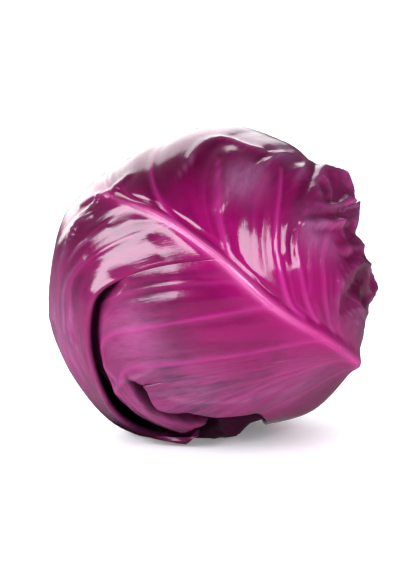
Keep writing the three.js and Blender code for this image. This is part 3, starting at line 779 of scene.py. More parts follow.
def floor_at(name, points):
    """The lowest height over the table that a leaf may reach in a direction."""
    if name != "leaf_under":
        return np.full(len(points), FRONT_CLEARANCE)
    out = np.hypot(points[:, 0], points[:, 1]) / np.maximum(-points[:, 2], 1e-3) * HEAD_CENTRE[2]
    to_front = smooth((-points[:, 1] * 3 + np.abs(points[:, 0])) / 0.4)
    return UNDER_RAISED * smooth((out - REST_RADIUS) / 8) * to_front


def floor_reach(points, lowest):
    """The radius at which a direction reaches that height."""
    down = np.minimum(points[:, 2], -1e-3)
    return np.where(points[:, 2] < -1e-3, (HEAD_CENTRE[2] - lowest) / -down, np.inf)


print("past", REST_RADIUS, "mm to the front the under leaf is held", UNDER_RAISED, "mm off the table")

# %% [markdown]
# ## Laying a leaf
# Each lobe's net becomes quads. Lobes share the corners of a row up to where it tears, a strip
# joins the two halves across the midrib, and a second, inner face with a wall round every free edge
# makes the sheet a closed blade. What the finish needs goes along as attributes of the corners.

# %% Faces of a leaf


def net_faces(index, side):
    a, b = index[:-1, :-1].ravel(), index[:-1, 1:].ravel()
    c, d = index[1:, 1:].ravel(), index[1:, :-1].ravel()
    quads = np.stack([a, b, c, d], 1)
    return quads[:, ::-1] if side > 0 else quads


def midrib_strip(upper, lower):
    """Triangles across the midrib between the first corners of the rows on its two sides."""
    upper, lower = sorted(upper), sorted(lower)
    i = j = 0
    faces = []
    while i < len(upper) - 1 or j < len(lower) - 1:
        upper_next = upper[i + 1][0] if i < len(upper) - 1 else np.inf
        lower_next = lower[j + 1][0] if j < len(lower) - 1 else np.inf
        if upper_next <= lower_next:
            faces.append((upper[i][1], upper[i + 1][1], lower[j][1]))
            i += 1
        else:
            faces.append((lower[j + 1][1], lower[j][1], upper[i][1]))
            j += 1
    return [face for face in faces if len(set(face)) == 3]


def free_edges(faces):
    """The directed edges that only one face uses."""
    edges = np.array([(f[k], f[(k + 1) % len(f)]) for f in faces for k in range(len(f))])
    count = edges.max() + 1
    forward, back = edges[:, 0] * count + edges[:, 1], edges[:, 1] * count + edges[:, 0]
    return edges[~np.isin(forward, back)]


print("a net of 3 by 3 corners has", len(net_faces(np.arange(9).reshape(3, 3), 1)), "quads")

# %% Laying a leaf
# Painted shade: how much the inner face of every blade gets, and the middle lobe's tail below the low lobe's
# edge.
INNER_SHADE = 0.95
EDGE_SHADE = 0.85


def lay_surface(name, lobe):
    """One lobe: its net, and for each point a direction, both radii and the masks."""
    leaf = LEAVES[name]
    net = lay_lobe(leaf["midrib"], lobe, lobe["per"], *lobe["cols"])
    points = net["points"].reshape(-1, 3)
    relief = relief_of(leaf, lobe, net)
    covered = sink_at(name, lobe, points, relief["length"])
    keep = mix(1, COVERED_RELIEF, smooth(covered / UNDERLAP_SINK))
    # Painted shade where the leaf is covered, on the folded lobe's end, and along the low lobe's edge.
    shade = np.maximum(relief["painted_shade"], smooth((covered - 2) / 4)) + spots(points, lobe.get("shaded", []))
    if lobe.get("under"):
        near_edge = smooth((inset_in(points, covers["low_lobe"]) + 11.5) / 2.5)
        shade += EDGE_SHADE * near_edge * smooth((relief["length"] - INNER_TEAR["body"] + 2) / 4)
    level = head_radius(points) - covered + lift_at(lobe, points, net)
    lowest = floor_at(name, points)
    outer = np.minimum(level + keep * relief["height"], floor_reach(points, lowest))
    inner = np.minimum(level + keep * RELIEF_FLOOR, outer) - LEAF_THICKNESS
    inner = np.minimum(inner, floor_reach(points, lowest + LEAF_THICKNESS))
    painted_shade = np.clip(shade, 0, 1)
    return {**relief, "net": net, "points": points, "outer": outer, "inner": inner, "painted_shade": painted_shade}


def lay_leaf(name):
    """A whole leaf: its lobes joined where they share corners, closed by an inner face and walls."""
    lobes = LEAVES[name]["lobes"]
    laid = [lay_surface(name, lobe) for lobe in lobes]
    directions = np.concatenate([surface["points"] for surface in laid])
    _, first, index = np.unique(directions.round(5), axis=0, return_index=True, return_inverse=True)
    index = index.reshape(-1)
    kept = {
        key: np.concatenate([surface[key] for surface in laid])[first]
        for key in ["points", "outer", "inner", *MASKS]
    }
    faces, rib_sides, start = [], {-1: [], 1: []}, 0
    for lobe, surface in zip(lobes, laid):
        net = surface["net"]
        corners = index[start : start + net["q"].size].reshape(net["q"].shape)
        start += net["q"].size
        faces += [tuple(dict.fromkeys(f)) for f in net_faces(corners, lobe["side"]).tolist()]
        rib_sides[lobe["side"]] += list(zip(net["root"].tolist(), corners[:, 0].tolist()))
    faces += midrib_strip(rib_sides[-1], rib_sides[1])
    faces = [f for f in faces if len(f) > 2]

    count = len(first)
    inside = [tuple(count + v for v in reversed(f)) for f in faces]
    walls = [(b, a, count + a, count + b) for a, b in free_edges(faces).tolist()]
    radii = np.concatenate([kept["outer"], kept["inner"]])[:, None]
    verts = np.concatenate([kept["points"]] * 2) * radii + HEAD_CENTRE
    return make_mesh(name + "_skin", verts * MM, faces + inside + walls, {key: kept[key] for key in MASKS})


def make_mesh(name, verts, faces, masks):
    """A mesh with its masks as attributes; its inner face is painted in shade."""
    mesh = bpy.data.meshes.new(name)
    mesh.from_pydata(verts.tolist(), [], faces)
    for key, values in masks.items():
        layer = mesh.attributes.new(key, "FLOAT", "POINT")
        inner = np.maximum(values, INNER_SHADE) if key == "painted_shade" else values
        layer.data.foreach_set("value", np.concatenate([values, inner]).astype(np.float32))
    mesh.polygons.foreach_set("use_smooth", np.ones(len(mesh.polygons), bool))
    mesh.update()
    piece = bpy.data.objects.new(name, mesh)
    bpy.context.scene.collection.objects.link(piece)
    print(name, len(verts), "corners,", sum(len(f) - 2 for f in faces), "triangles")
    return piece


skins = {name: lay_leaf(name) for name in LEAVES}

# %% [markdown]
# ## Waxy leaf
# Red cabbage is purple because its outer cells hold anthocyanin. Over that lies a thin wax, which
# gives a soft gloss with a broad highlight and a whitish sheen at a glancing angle. The ribs hold
# little pigment, so they are pink to white, and the colour bleeds from them into the blade. Young
# rib tissue is magenta, the old blade between the veins nearly aubergine.
#
# First come the helpers that every finish here uses: one reads a hex colour, one adds a node with
# its settings and links, and one lays colours over one another by a table.

# %% Node helpers


def linear(hex_colour):
    """An sRGB hex colour as linear RGBA."""
    rgb = [int(hex_colour[i : i + 2], 16) / 255 for i in (1, 3, 5)]
    return [c / 12.92 if c <= 0.04045 else ((c + 0.055) / 1.055) ** 2.4 for c in rgb] + [1.0]


def node(tree, kind, inputs=None, **settings):
    """Adds a node, sets it, and links or fills its inputs. A node as a value means its first output."""
    made = tree.nodes.new(kind)
    for key, value in settings.items():
        setattr(made, key, value)
    for key, value in (inputs or {}).items():
        named = (s for s in made.inputs if s.enabled and s.name == key)
        socket = made.inputs[key] if isinstance(key, int) else next(named)
        if isinstance(value, bpy.types.Node):
            value = next(s for s in value.outputs if s.enabled)
        if isinstance(value, bpy.types.NodeSocket):
            tree.links.new(value, socket)
        else:
            socket.default_value = value
    return made


def new_material(name):
    material = bpy.data.materials.new(name)
    material.use_nodes = True
    material.node_tree.nodes.clear()
    return material, partial(node, material.node_tree)


def layered(add, colour, layers):
    """Lays colours over one another: what drives each, from where to where, its most and its tone."""
    for drive, low, high, most, tone in layers:
        inputs = {"Value": drive, "From Min": low, "From Max": high, "To Max": most}
        share = add("ShaderNodeMapRange", inputs)
        colour = add("ShaderNodeMix", {"Factor": share, "A": colour, "B": linear(tone)}, data_type="RGBA")
    return colour


print("blade purple in linear light:", [round(c, 3) for c in linear("#7C0A50")[:3]])

# %% [markdown]
# ## The patterns of a leaf
# A leaf's patterns follow its veins, so most of them are laid in row coordinates: across counts the
# rows and along is in millimetres, which draws a plain noise out into streaks and fibres. Mottling
# and grain have no direction and stay in object space, with their sizes in millimetres too.

# %% Colours and patterns of the waxy leaf
BLADE_DARK = "#480630"
BLADE = "#7C0A50"
BLADE_WARM = "#920C60"
BLADE_DEEP_AND_CREASE_SHADE = "#540534"
BLADE_HOT = "#B40E78"
BLOOM_AND_SHEEN = "#C79AC4"
RIB_STAIN = "#A80D70"
VEIN_PINK = "#C63C94"
RIB_PINK = "#D84A9E"
RIB_PALE = "#F0B4DA"
# The colour of painted shade, laid on what is folded away or lies under the head.
LAYERED_SHADE = "#21041A"


def leaf_patterns(add, mask):
    """The noises of a leaf by name, and the net of its finest veins."""
    place = add("ShaderNodeTexCoord").outputs["Object"]
    # X counts rows, Y is millimetres along one.
    rows = add("ShaderNodeCombineXYZ", {"X": mask["strand"], "Y": mask["length"]})
    # On the midrib X is millimetres from its middle, and Y goes from the stem to the tip.
    rib = add("ShaderNodeCombineXYZ", {"X": mask["clear"], "Y": mask["rib_along"]})
    noises = {}
    for key, at, stretch, size_mm, detail, roughness in (
        ("patches", place, None, 41.67, 3.0, 0.5),
        ("mottle", place, None, 5.882, 4.0, 0.6),
        ("grain", place, None, 1.4286, 3.0, 0.5),
        ("streaks", rows, (2.2, 0.022, 0), None, 3.0, 0.5),
        ("rubbed", rows, (5.0, 0.05, 0), None, 5.0, 0.65),
        ("fibres", rows, (22.0, 0.1, 0), None, 2.0, 0.5),
        ("strings", rib, (1.1, 7.0, 0), None, 4.0, 0.6),
    ):
        if stretch:
            at = add("ShaderNodeVectorMath", {0: at, 1: stretch}, operation="MULTIPLY")
        scale = 1 / (size_mm * MM) if size_mm else 1.0
        inputs = {"Vector": at, "Scale": scale, "Detail": detail, "Roughness": roughness}
        noises[key] = add("ShaderNodeTexNoise", inputs)
    # The finest veins form a net whose meshes are longer along the rows.
    meshes = add("ShaderNodeVectorMath", {0: rows, 1: (5.0, 0.13, 0)}, operation="MULTIPLY")
    inputs = {"Vector": meshes, "Scale": 1.0, "Randomness": 0.9}
    return noises, add("ShaderNodeTexVoronoi", inputs, feature="DISTANCE_TO_EDGE")


print("leaf colours from", BLADE_DARK, "in old blade to", RIB_PALE, "on the midrib")

# %% [markdown]
# ## The colour of a leaf
# The colour is built up as it lies in the leaf: a dark blade, warmer where it is young or thin and
# darker in spots and with painted shade in crease valleys, the whitish bloom with its painted sheen,
# then the ribs, which hold little pigment but stain the blade beside them. A table of layers says so
# more plainly than a long chain of nodes. Painted shade on what is folded away comes last.

# %% The colour of a leaf


def bloom_and_sheen_left(add, mask, noises):
    """Wax bloom with painted sheen, thinner where the leaf was rubbed."""
    inputs = {"Value": noises["rubbed"], "From Min": 0.3, "From Max": 0.7, "To Min": 0.45}
    left = add("ShaderNodeMapRange", inputs)
    return add("ShaderNodeMath", {0: mask["bloom_and_sheen"], 1: left}, operation="MULTIPLY")


def midrib_shares(add, mask, noises):
    """Where the midrib is strung with fibres, and where those are pale: its middle stretch."""
    inputs = {"Value": noises["strings"], "From Min": 0.35, "From Max": 0.62, "To Min": 0.5}
    strings = add("ShaderNodeMapRange", inputs)
    strung = add("ShaderNodeMath", {0: mask["rib"], 1: strings}, operation="MULTIPLY")
    pale = strings
    for start, full in ((0.72, 0.5), (0.22, 0.42)):
        inputs = {"Value": mask["rib_along"], "From Min": start, "From Max": full}
        stretch = add("ShaderNodeMapRange", inputs, interpolation_type="SMOOTHSTEP")
        pale = add("ShaderNodeMath", {0: pale, 1: stretch}, operation="MULTIPLY")
    return strung, add("ShaderNodeMath", {0: mask["rib"], 1: pale}, operation="MULTIPLY")


def leaf_colour(add, mask, noises, nerves, bloom_and_sheen):
    strung, pale = midrib_shares(add, mask, noises)
    layers = [
        (noises["patches"], 0.36, 0.58, 1.0, BLADE),
        (noises["streaks"], 0.47, 0.62, 0.6, BLADE_WARM),
        (noises["mottle"], 0.46, 0.64, 0.28, BLADE_WARM),
        (mask["hot"], 0, 1, 0.7, BLADE_HOT),
        (mask["deep"], 0, 1, 0.85, BLADE_DEEP_AND_CREASE_SHADE),
        (nerves, 0.08, 0, 0.08, BLADE_WARM),
        (bloom_and_sheen, 0, 1, 0.36, BLOOM_AND_SHEEN),
        (mask["rib_glow"], 0, 1, 0.7, RIB_STAIN),
        (mask["vein"], 0, 1, 0.8, VEIN_PINK),
        (strung, 0, 1, 1.0, RIB_PINK),
        (pale, 0, 1, 0.4, RIB_PALE),
        (mask["painted_shade"], 0, 1, 0.85, LAYERED_SHADE),
    ]
    return layered(add, linear(BLADE_DARK), layers)


print("every leaf's colour starts from", BLADE_DARK)

# %% [markdown]
# ## The wax
# Living cabbage skin is a matt, moist tissue under a clear wax. The shader has both: a base with
# little gloss of its own, and a coat. The coat's index of refraction is above a real wax's 1.45,
# which gives the strong window reflections of a fresh, firm head. Bloom scatters light, so it takes
# coat away, as does the painted sheen laid with it, and skin painted in shade has none. Fibres and
# cell grain are a fine bump.

# %% The waxy leaf
LEAF_IOR = 1.42
LEAF_SPECULAR = 0.15
WAX_IOR = 1.76
WAX_ROUGHNESS = 0.13
BLOOMED_COAT = 0.25
BUMPS = {"fibres": 0.2, "grain": 0.03, "mottle": 0.3, "streaks": 0.15}
BUMP_MM = 0.6


def waxy_leaf(name, painted_shade_share, gloss, coat):
    """painted_shade_share lays painted shade over the colour (0 to 1); gloss is the roughness of the skin,
    coat how much wax.
    """
    material, add = new_material(name)
    mask = {key: add("ShaderNodeAttribute", attribute_name=key).outputs["Fac"] for key in MASKS}
    noises, nerves = leaf_patterns(add, mask)
    bloom_and_sheen = bloom_and_sheen_left(add, mask, noises)
    colour = leaf_colour(add, mask, noises, nerves, bloom_and_sheen)
    # Painted shade over the whole leaf, most on the under leaf beneath the head.
    inputs = {"Factor": painted_shade_share, "A": colour, "B": linear(LAYERED_SHADE)}
    colour = add("ShaderNodeMix", inputs, data_type="RGBA")

    height = 0.0
    for key, amount in BUMPS.items():
        height = add("ShaderNodeMath", {0: noises[key], 1: amount, 2: height}, operation="MULTIPLY_ADD")
    bump = add("ShaderNodeBump", {"Height": height, "Distance": BUMP_MM * MM, "Strength": 0.5})
    ends = {"From Min": 0.3, "From Max": 0.7, "To Min": gloss - 0.05, "To Max": gloss + 0.06}
    skin = add("ShaderNodeMapRange", {"Value": noises["mottle"], **ends})
    skin = add("ShaderNodeMath", {0: mask["painted_shade"], 1: 0.5, 2: skin}, operation="MULTIPLY_ADD")
    wax = add("ShaderNodeMapRange", {"Value": bloom_and_sheen, "To Min": coat, "To Max": coat * BLOOMED_COAT})
    shown = add("ShaderNodeMath", {0: 1.0, 1: mask["painted_shade"]}, operation="SUBTRACT")
    wax = add("ShaderNodeMath", {0: wax, 1: shown}, operation="MULTIPLY")
    inputs = {"Base Color": colour, "Roughness": skin, "Normal": bump}
    inputs |= {"IOR": LEAF_IOR, "Specular IOR Level": LEAF_SPECULAR, "Coat Weight": wax}
    inputs |= {"Coat Normal": bump, "Coat Roughness": WAX_ROUGHNESS, "Coat IOR": WAX_IOR}
    add("ShaderNodeOutputMaterial", {"Surface": add("ShaderNodeBsdfPrincipled", inputs)})
    return material


# How much painted shade darkens each leaf, the roughness of its skin, and its coat of wax.
LEAF_FINISH = {
    "leaf_front": (0.0, 0.42, 0.9),
    "leaf_back": (0.1, 0.42, 0.9),
    "leaf_under": (0.75, 0.55, 0.15),
}
for name, look in LEAF_FINISH.items():
    skins[name].data.materials.append(waxy_leaf("waxy " + name.replace("_", " "), *look))
print("leaf finishes:", ", ".join(skin.data.materials[0].name for skin in skins.values()))

# %% [markdown]
# ## Growing a piece with Geometry Nodes
# The heart and the cut stem each follow one short rule, and the stem's bundles repeat round a ring.
# They could be computed like the leaves, but a node tree keeps such a rule in one place with its
# sizes as named inputs, so that another head needs only other numbers. The helper runs a tree once
# and keeps the plain mesh that comes out.

# %% Growing helpers
PLACED = {"Axis": "Vector", "Centre": "Vector", "Finish": "Material"}


def new_tree(name, inputs):
    """A Geometry Nodes tree with these inputs: the tree, its node adder and its input sockets."""
    tree = bpy.data.node_groups.new(name, "GeometryNodeTree")
    for label, kind in {**inputs, **PLACED}.items():
        tree.interface.new_socket(label, in_out="INPUT", socket_type="NodeSocket" + kind)
    tree.interface.new_socket("Mesh", in_out="OUTPUT", socket_type="NodeSocketGeometry")
    add = partial(node, tree)
    return tree, add, add("NodeGroupInput").outputs


def close_tree(add, mesh, sizes):
    """Ends a tree with real geometry and its material."""
    solid = add("GeometryNodeRealizeInstances", {"Geometry": mesh})
    finished = add("GeometryNodeSetMaterial", {"Geometry": solid, "Material": sizes["Finish"]})
    add("NodeGroupOutput", {"Mesh": finished})


def grow(name, tree, sizes):
    """Runs a tree once with these sizes and keeps the plain mesh that comes out."""
    piece = bpy.data.objects.new(name, bpy.data.meshes.new(name))
    bpy.context.scene.collection.objects.link(piece)
    modifier = piece.modifiers.new(tree.name, "NODES")
    modifier.node_group = tree
    for socket in tree.interface.items_tree:
        if socket.in_out == "INPUT":
            modifier[socket.identifier] = sizes[socket.name]
    evaluated = piece.evaluated_get(bpy.context.evaluated_depsgraph_get())
    grown = bpy.data.meshes.new_from_object(evaluated)
    piece.modifiers.clear()
    piece.data = grown
    grown.polygons.foreach_set("use_smooth", np.ones(len(grown.polygons), bool))
    corners = np.array([v.co for v in grown.vertices])
    print(name, len(corners), "corners, size in mm", (np.ptp(corners, axis=0) / MM).round(1).tolist())
    return piece


print("each tree also takes:", ", ".join(PLACED))

# %% [markdown]
# ## The heart
# Under the wrappers the leaves are packed so tight that only their edges show, as low steps that
# wind round the crown. A ball with a saw-tooth rule round its axis gives that: the height falls
# from one edge to the next, five times round, and the steps fade out at the two poles.

# %% The heart's tree
HEART_LEAVES = 5
HEART_STEP = 2.0
HEART_TWIST = 1.2
BALL, ball_add, ball = new_tree("packed heart", {"Radius": "Float", "Leaves": "Int", "Step": "Float"})


def packed_heart(add, sizes):
    """A ball with leaf edges wound round its axis, which points to the crown."""
    globe = add("GeometryNodeMeshUVSphere", {"Segments": 160, "Rings": 80, "Radius": 1.0})
    corner = add("GeometryNodeInputPosition")
    x, y, z = add("ShaderNodeSeparateXYZ", {"Vector": corner}).outputs
    # Round the axis, in turns, and down from the crown, 0 to 1.
    around = add("ShaderNodeMath", {0: y, 1: x}, operation="ARCTAN2")
    around = add("ShaderNodeMath", {0: around, 1: 2 * np.pi}, operation="DIVIDE")
    down = add("ShaderNodeMath", {0: z}, operation="ARCCOSINE")
    down = add("ShaderNodeMath", {0: down, 1: np.pi}, operation="DIVIDE")
    # A saw-tooth that falls from one leaf's edge to the next, sharp at the edge.
    wound = add("ShaderNodeMath", {0: around, 1: sizes["Leaves"]}, operation="MULTIPLY")
    wound = add("ShaderNodeMath", {0: down, 1: HEART_TWIST, 2: wound}, operation="MULTIPLY_ADD")
    edge = add("ShaderNodeMath", {0: wound}, operation="FRACT")
    edge = add("ShaderNodeMath", {0: 1.0, 1: edge}, operation="SUBTRACT")
    edge = add("ShaderNodeMath", {0: edge, 1: 3.0}, operation="POWER")
    step = add("ShaderNodeMath", {0: edge, 1: 0.4}, operation="SUBTRACT")
    step = add("ShaderNodeMath", {0: step, 1: sizes["Step"]}, operation="MULTIPLY")
    # The steps fade out at the crown and at the stem.
    for low, high in ((0.0, 0.12), (0.92, 0.8)):
        ends = {"Value": down, "From Min": low, "From Max": high}
        fade = add("ShaderNodeMapRange", ends, interpolation_type="SMOOTHSTEP")
        step = add("ShaderNodeMath", {0: step, 1: fade}, operation="MULTIPLY")
    # Turned so that its crown faces away from the stem, it follows the head's own bulges.
    turned = add("FunctionNodeAlignRotationToVector", {"Vector": sizes["Axis"]}, axis="Z")
    out = add("FunctionNodeRotateVector", {"Vector": corner, "Rotation": turned})
    level = add("ShaderNodeMath", {0: sizes["Radius"], 1: step}, operation="ADD")
    for lon, lat, spread, tall in HEAD_BULGES:
        near = add("ShaderNodeVectorMath", {0: out, 1: toward(lon, lat)}, operation="DOT_PRODUCT")
        angle = add("ShaderNodeMath", {0: near}, operation="ARCCOSINE")
        angle = add("ShaderNodeMath", {0: angle, 1: spread * DEG}, operation="DIVIDE")
        fall = add("ShaderNodeMath", {0: angle, 1: angle}, operation="MULTIPLY")
        fall = add("ShaderNodeMath", {0: fall, 1: -1.0}, operation="MULTIPLY")
        fall = add("ShaderNodeMath", {0: fall}, operation="EXPONENT")
        level = add("ShaderNodeMath", {0: fall, 1: tall * MM, 2: level}, operation="MULTIPLY_ADD")
    lifted = add("ShaderNodeVectorMath", {0: out, "Scale": level}, operation="SCALE")
    laid = add("ShaderNodeVectorMath", {0: lifted, 1: sizes["Centre"]}, operation="ADD")
    return add("GeometryNodeSetPosition", {"Geometry": globe, "Position": laid})


close_tree(ball_add, packed_heart(ball_add, ball), ball)
print("the tree", BALL.name, "has", len(BALL.nodes), "nodes")

# %% [markdown]
# ## Inner leaves and cut stem
# The heart's leaves show only through gaps, so they need no more than a dark, dull skin. The stem is
# the plant's stalk, cut off in the field: a purple rind round cream flesh that browns a little as it
# dries, and in it a ring of vascular bundles, the plant's pipes. The flesh and the bundles are one
# kind of matt tissue, so one function finishes both, with the rind laid on by distance from the axis.

# %% Heart and stem finish
SPECKLE_SIZE = 16.67
BLOTCH_SIZE = 11.11
PITH_SIZE = 1.111


def dull_skin(name, colour, spotted):
    """Leaf skin without wax: it shows through gaps as a dark, soft purple."""
    material, add = new_material(name)
    place = add("ShaderNodeTexCoord").outputs["Object"]
    speckle = add("ShaderNodeTexNoise", {"Vector": place, "Scale": 1 / (SPECKLE_SIZE * MM), "Detail": 4.0})
    mixed = layered(add, linear(colour), [(speckle, 0.4, 0.65, 1.0, spotted)])
    inputs = {"Base Color": mixed, "Roughness": 0.65}
    add("ShaderNodeOutputMaterial", {"Surface": add("ShaderNodeBsdfPrincipled", inputs)})
    return material


def cut_flesh(name, flesh, dried, rind):
    """Stalk flesh: cream and matt, dried brown in patches, with a purple rind all round."""
    material, add = new_material(name)
    place = add("ShaderNodeTexCoord").outputs["Object"]
    from_centre = add("ShaderNodeVectorMath", {0: place, 1: HEAD_CENTRE * MM}, operation="SUBTRACT")
    across = add("ShaderNodeVectorMath", {0: from_centre, 1: toward(*STEM_AXIS)}, operation="CROSS_PRODUCT")
    reach = add("ShaderNodeVectorMath", {0: across}, operation="LENGTH")
    blotch = add("ShaderNodeTexNoise", {"Vector": place, "Scale": 1 / (BLOTCH_SIZE * MM), "Detail": 4.0})
    pith = add("ShaderNodeTexNoise", {"Vector": place, "Scale": 1 / (PITH_SIZE * MM), "Detail": 2.0})
    edge = STEM_RADIUS * MM
    layers = [
        (blotch, 0.48, 0.7, 0.6, dried),
        (pith, 0.5, 0.7, 0.25, dried),
        (reach, edge * 0.86, edge * 0.99, 0.75, rind),
    ]
    bump = add("ShaderNodeBump", {"Height": pith, "Distance": 0.4 * MM, "Strength": 0.6})
    inputs = {"Base Color": layered(add, linear(flesh), layers), "Roughness": 0.7, "Normal": bump}
    add("ShaderNodeOutputMaterial", {"Surface": add("ShaderNodeBsdfPrincipled", inputs)})
    return material


INNER_LEAVES = dull_skin("inner leaves", "#26061C", "#3C0C2C")
CUT_FLESH = cut_flesh("cut stalk flesh", "#DCD0B0", "#A98F63", "#7E3C66")
BUNDLE_ENDS = cut_flesh("bundle ends", "#EFE9D2", "#CDBE93", "#E2D8BC")
print("finishes:", ", ".join(finish.name for finish in (INNER_LEAVES, CUT_FLESH, BUNDLE_ENDS)))

# %% [markdown]
# ## The cut stalk
# A rod from the heart out to the knife's cut. Turned on a lathe curve it would be too regular, so
# the tree moves the corners of a plain cylinder: out by the flutes, by soft lumps and by a flare
# where the leaves join it, in at the rounded edge, and down into the face, where the pith shrank.

# %% The stalk's tree
STEM_FROM = 72.5
STEM_TO = 84.5
STEM_LUMPS = 0.05
STEM_LUMP_SIZE = 9.091
FACE_HOLLOW = 0.9
SAW_MARKS = 0.6
STALK, stalk_add, stalk = new_tree(
    "cut stalk",
    {"Radius": "Float", "From": "Float", "To": "Float", "Flutes": "Int", "Flute Depth": "Float"},
)


def stood_on_axis(add, mesh, sizes):
    """Turns a mesh that stands on Z to the stem's axis and moves it to the head's centre."""
    turned = add("FunctionNodeAlignRotationToVector", {"Vector": sizes["Axis"]}, axis="Z")
    inputs = {"Geometry": mesh, "Translation": sizes["Centre"], "Rotation": turned}
    return add("GeometryNodeTransform", inputs)


def cut_stalk(add, sizes):
    """A rod whose corners are moved: flutes and lumps round it, and a hollow, sawn face."""
    length = add("ShaderNodeMath", {0: sizes["To"], 1: sizes["From"]}, operation="SUBTRACT")
    inputs = {"Vertices": 96, "Side Segments": 16, "Fill Segments": 8}
    inputs |= {"Radius": sizes["Radius"], "Depth": length}
    rod = add("GeometryNodeMeshCylinder", inputs).outputs["Mesh"]
    corner = add("GeometryNodeInputPosition")
    x, y, z = add("ShaderNodeSeparateXYZ", {"Vector": corner}).outputs
    # Up the stalk, 0 at the heart and 1 at the cut.
    half = add("ShaderNodeMath", {0: length, 1: 0.5}, operation="MULTIPLY")
    low = add("ShaderNodeMath", {0: half, 1: -1.0}, operation="MULTIPLY")
    up = add("ShaderNodeMapRange", {"Value": z, "From Min": low, "From Max": half})
    # Flutes round it, a slight flare at the heart, and the rounded edge that the knife left.
    around = add("ShaderNodeMath", {0: y, 1: x}, operation="ARCTAN2")
    wave = add("ShaderNodeMath", {0: around, 1: sizes["Flutes"]}, operation="MULTIPLY")
    wave = add("ShaderNodeMath", {0: wave}, operation="COSINE")
    wide = add("ShaderNodeMath", {0: wave, 1: sizes["Flute Depth"], 2: 1.0}, operation="MULTIPLY_ADD")
    lumps = add("ShaderNodeTexNoise", {"Vector": corner, "Scale": 1 / (STEM_LUMP_SIZE * MM), "Detail": 2.0})
    lumps = add("ShaderNodeMapRange", {"Value": lumps, "To Min": -STEM_LUMPS, "To Max": STEM_LUMPS})
    wide = add("ShaderNodeMath", {0: wide, 1: lumps}, operation="ADD")
    for start, stop, amount in ((0.45, 0.0, 0.06), (0.86, 1.0, -0.07)):
        inputs = {"Value": up, "From Min": start, "From Max": stop, "To Max": amount}
        more = add("ShaderNodeMapRange", inputs, interpolation_type="SMOOTHSTEP")
        wide = add("ShaderNodeMath", {0: wide, 1: more}, operation="ADD")
    x = add("ShaderNodeMath", {0: x, 1: wide}, operation="MULTIPLY")
    y = add("ShaderNodeMath", {0: y, 1: wide}, operation="MULTIPLY")
    # The sawn face is a little rough and hollow, because the pith dries first.
    out = add("ShaderNodeVectorMath", {0: add("ShaderNodeCombineXYZ", {"X": x, "Y": y})}, operation="LENGTH")
    inputs = {"Value": out, "From Max": sizes["Radius"], "To Min": -FACE_HOLLOW * MM, "To Max": 0.0}
    hollow = add("ShaderNodeMapRange", inputs)
    inputs = {"Value": lumps, "From Min": -STEM_LUMPS, "From Max": STEM_LUMPS}
    sawn = add("ShaderNodeMapRange", {**inputs, "To Min": -SAW_MARKS * MM, "To Max": 0.0})
    dip = add("ShaderNodeMath", {0: hollow, 1: sawn}, operation="ADD")
    at_face = add("ShaderNodeMapRange", {"Value": up, "From Min": 0.97, "From Max": 1.0})
    z = add("ShaderNodeMath", {0: dip, 1: at_face, 2: z}, operation="MULTIPLY_ADD")
    middle = add("ShaderNodeMath", {0: sizes["From"], 1: half}, operation="ADD")
    z = add("ShaderNodeMath", {0: z, 1: middle}, operation="ADD")
    shaped = add("ShaderNodeCombineXYZ", {"X": x, "Y": y, "Z": z})
    stalk_mesh = add("GeometryNodeSetPosition", {"Geometry": rod, "Position": shaped})
    return stood_on_axis(add, stalk_mesh, sizes)


close_tree(stalk_add, cut_stalk(stalk_add, stalk), stalk)
print("the tree", STALK.name, "has", len(STALK.nodes), "nodes")

# %% [markdown]
# ## The ring of bundles
# The plant's pipes end in the cut as a ring of pale dots that stand out a little, because they are
# tougher than the flesh. They repeat, so one small bead is placed on the points of a circle, each
# with its own size, turn and small offset from one fixed seed.

# %% The bundles' tree
BUNDLE_SPREAD = 0.7
BUNDLES, bundles_add, bundles = new_tree(
    "ring of bundles",
    {"Count": "Int", "Ring Radius": "Float", "Bundle Size": "Float", "Height": "Float", "Seed": "Int"},
)


def ring_of_bundles(add, sizes):
    """Beads on a circle, each a little off it, and no two of the same size."""
    ring = add("GeometryNodeMeshCircle", {"Vertices": sizes["Count"], "Radius": sizes["Ring Radius"]})
    off = BUNDLE_SPREAD * MM
    inputs = {"Min": (-off, -off, 0.0), "Max": (off, off, 0.0), "Seed": sizes["Seed"]}
    moved = add("FunctionNodeRandomValue", inputs, data_type="FLOAT_VECTOR")
    lift = add("ShaderNodeCombineXYZ", {"Z": sizes["Height"]})
    offset = add("ShaderNodeVectorMath", {0: moved, 1: lift}, operation="ADD")
    ring = add("GeometryNodeSetPosition", {"Geometry": ring, "Offset": offset})
    bead = add("GeometryNodeMeshIcoSphere", {"Radius": sizes["Bundle Size"], "Subdivisions": 2})
    bead = add("GeometryNodeTransform", {"Geometry": bead.outputs["Mesh"], "Scale": (1.0, 0.8, 0.45)})
    inputs = {"Min": 0.65, "Max": 1.15, "Seed": sizes["Seed"]}
    size = add("FunctionNodeRandomValue", inputs, data_type="FLOAT")
    inputs = {"Max": (0.0, 0.0, 6.28), "Seed": sizes["Seed"]}
    turn = add("FunctionNodeRandomValue", inputs, data_type="FLOAT_VECTOR")
    inputs = {"Points": ring, "Instance": bead, "Scale": size, "Rotation": turn}
    return stood_on_axis(add, add("GeometryNodeInstanceOnPoints", inputs), sizes)


close_tree(bundles_add, ring_of_bundles(bundles_add, bundles), bundles)
print("the tree", BUNDLES.name, "has", len(BUNDLES.nodes), "nodes")

# %% [markdown]
# ## Growing the heart and the stem
# The sizes go in here, once for each tree. The heart's axis points away from the stem, to the crown,
# and the stalk and its bundles share the stem's own axis.

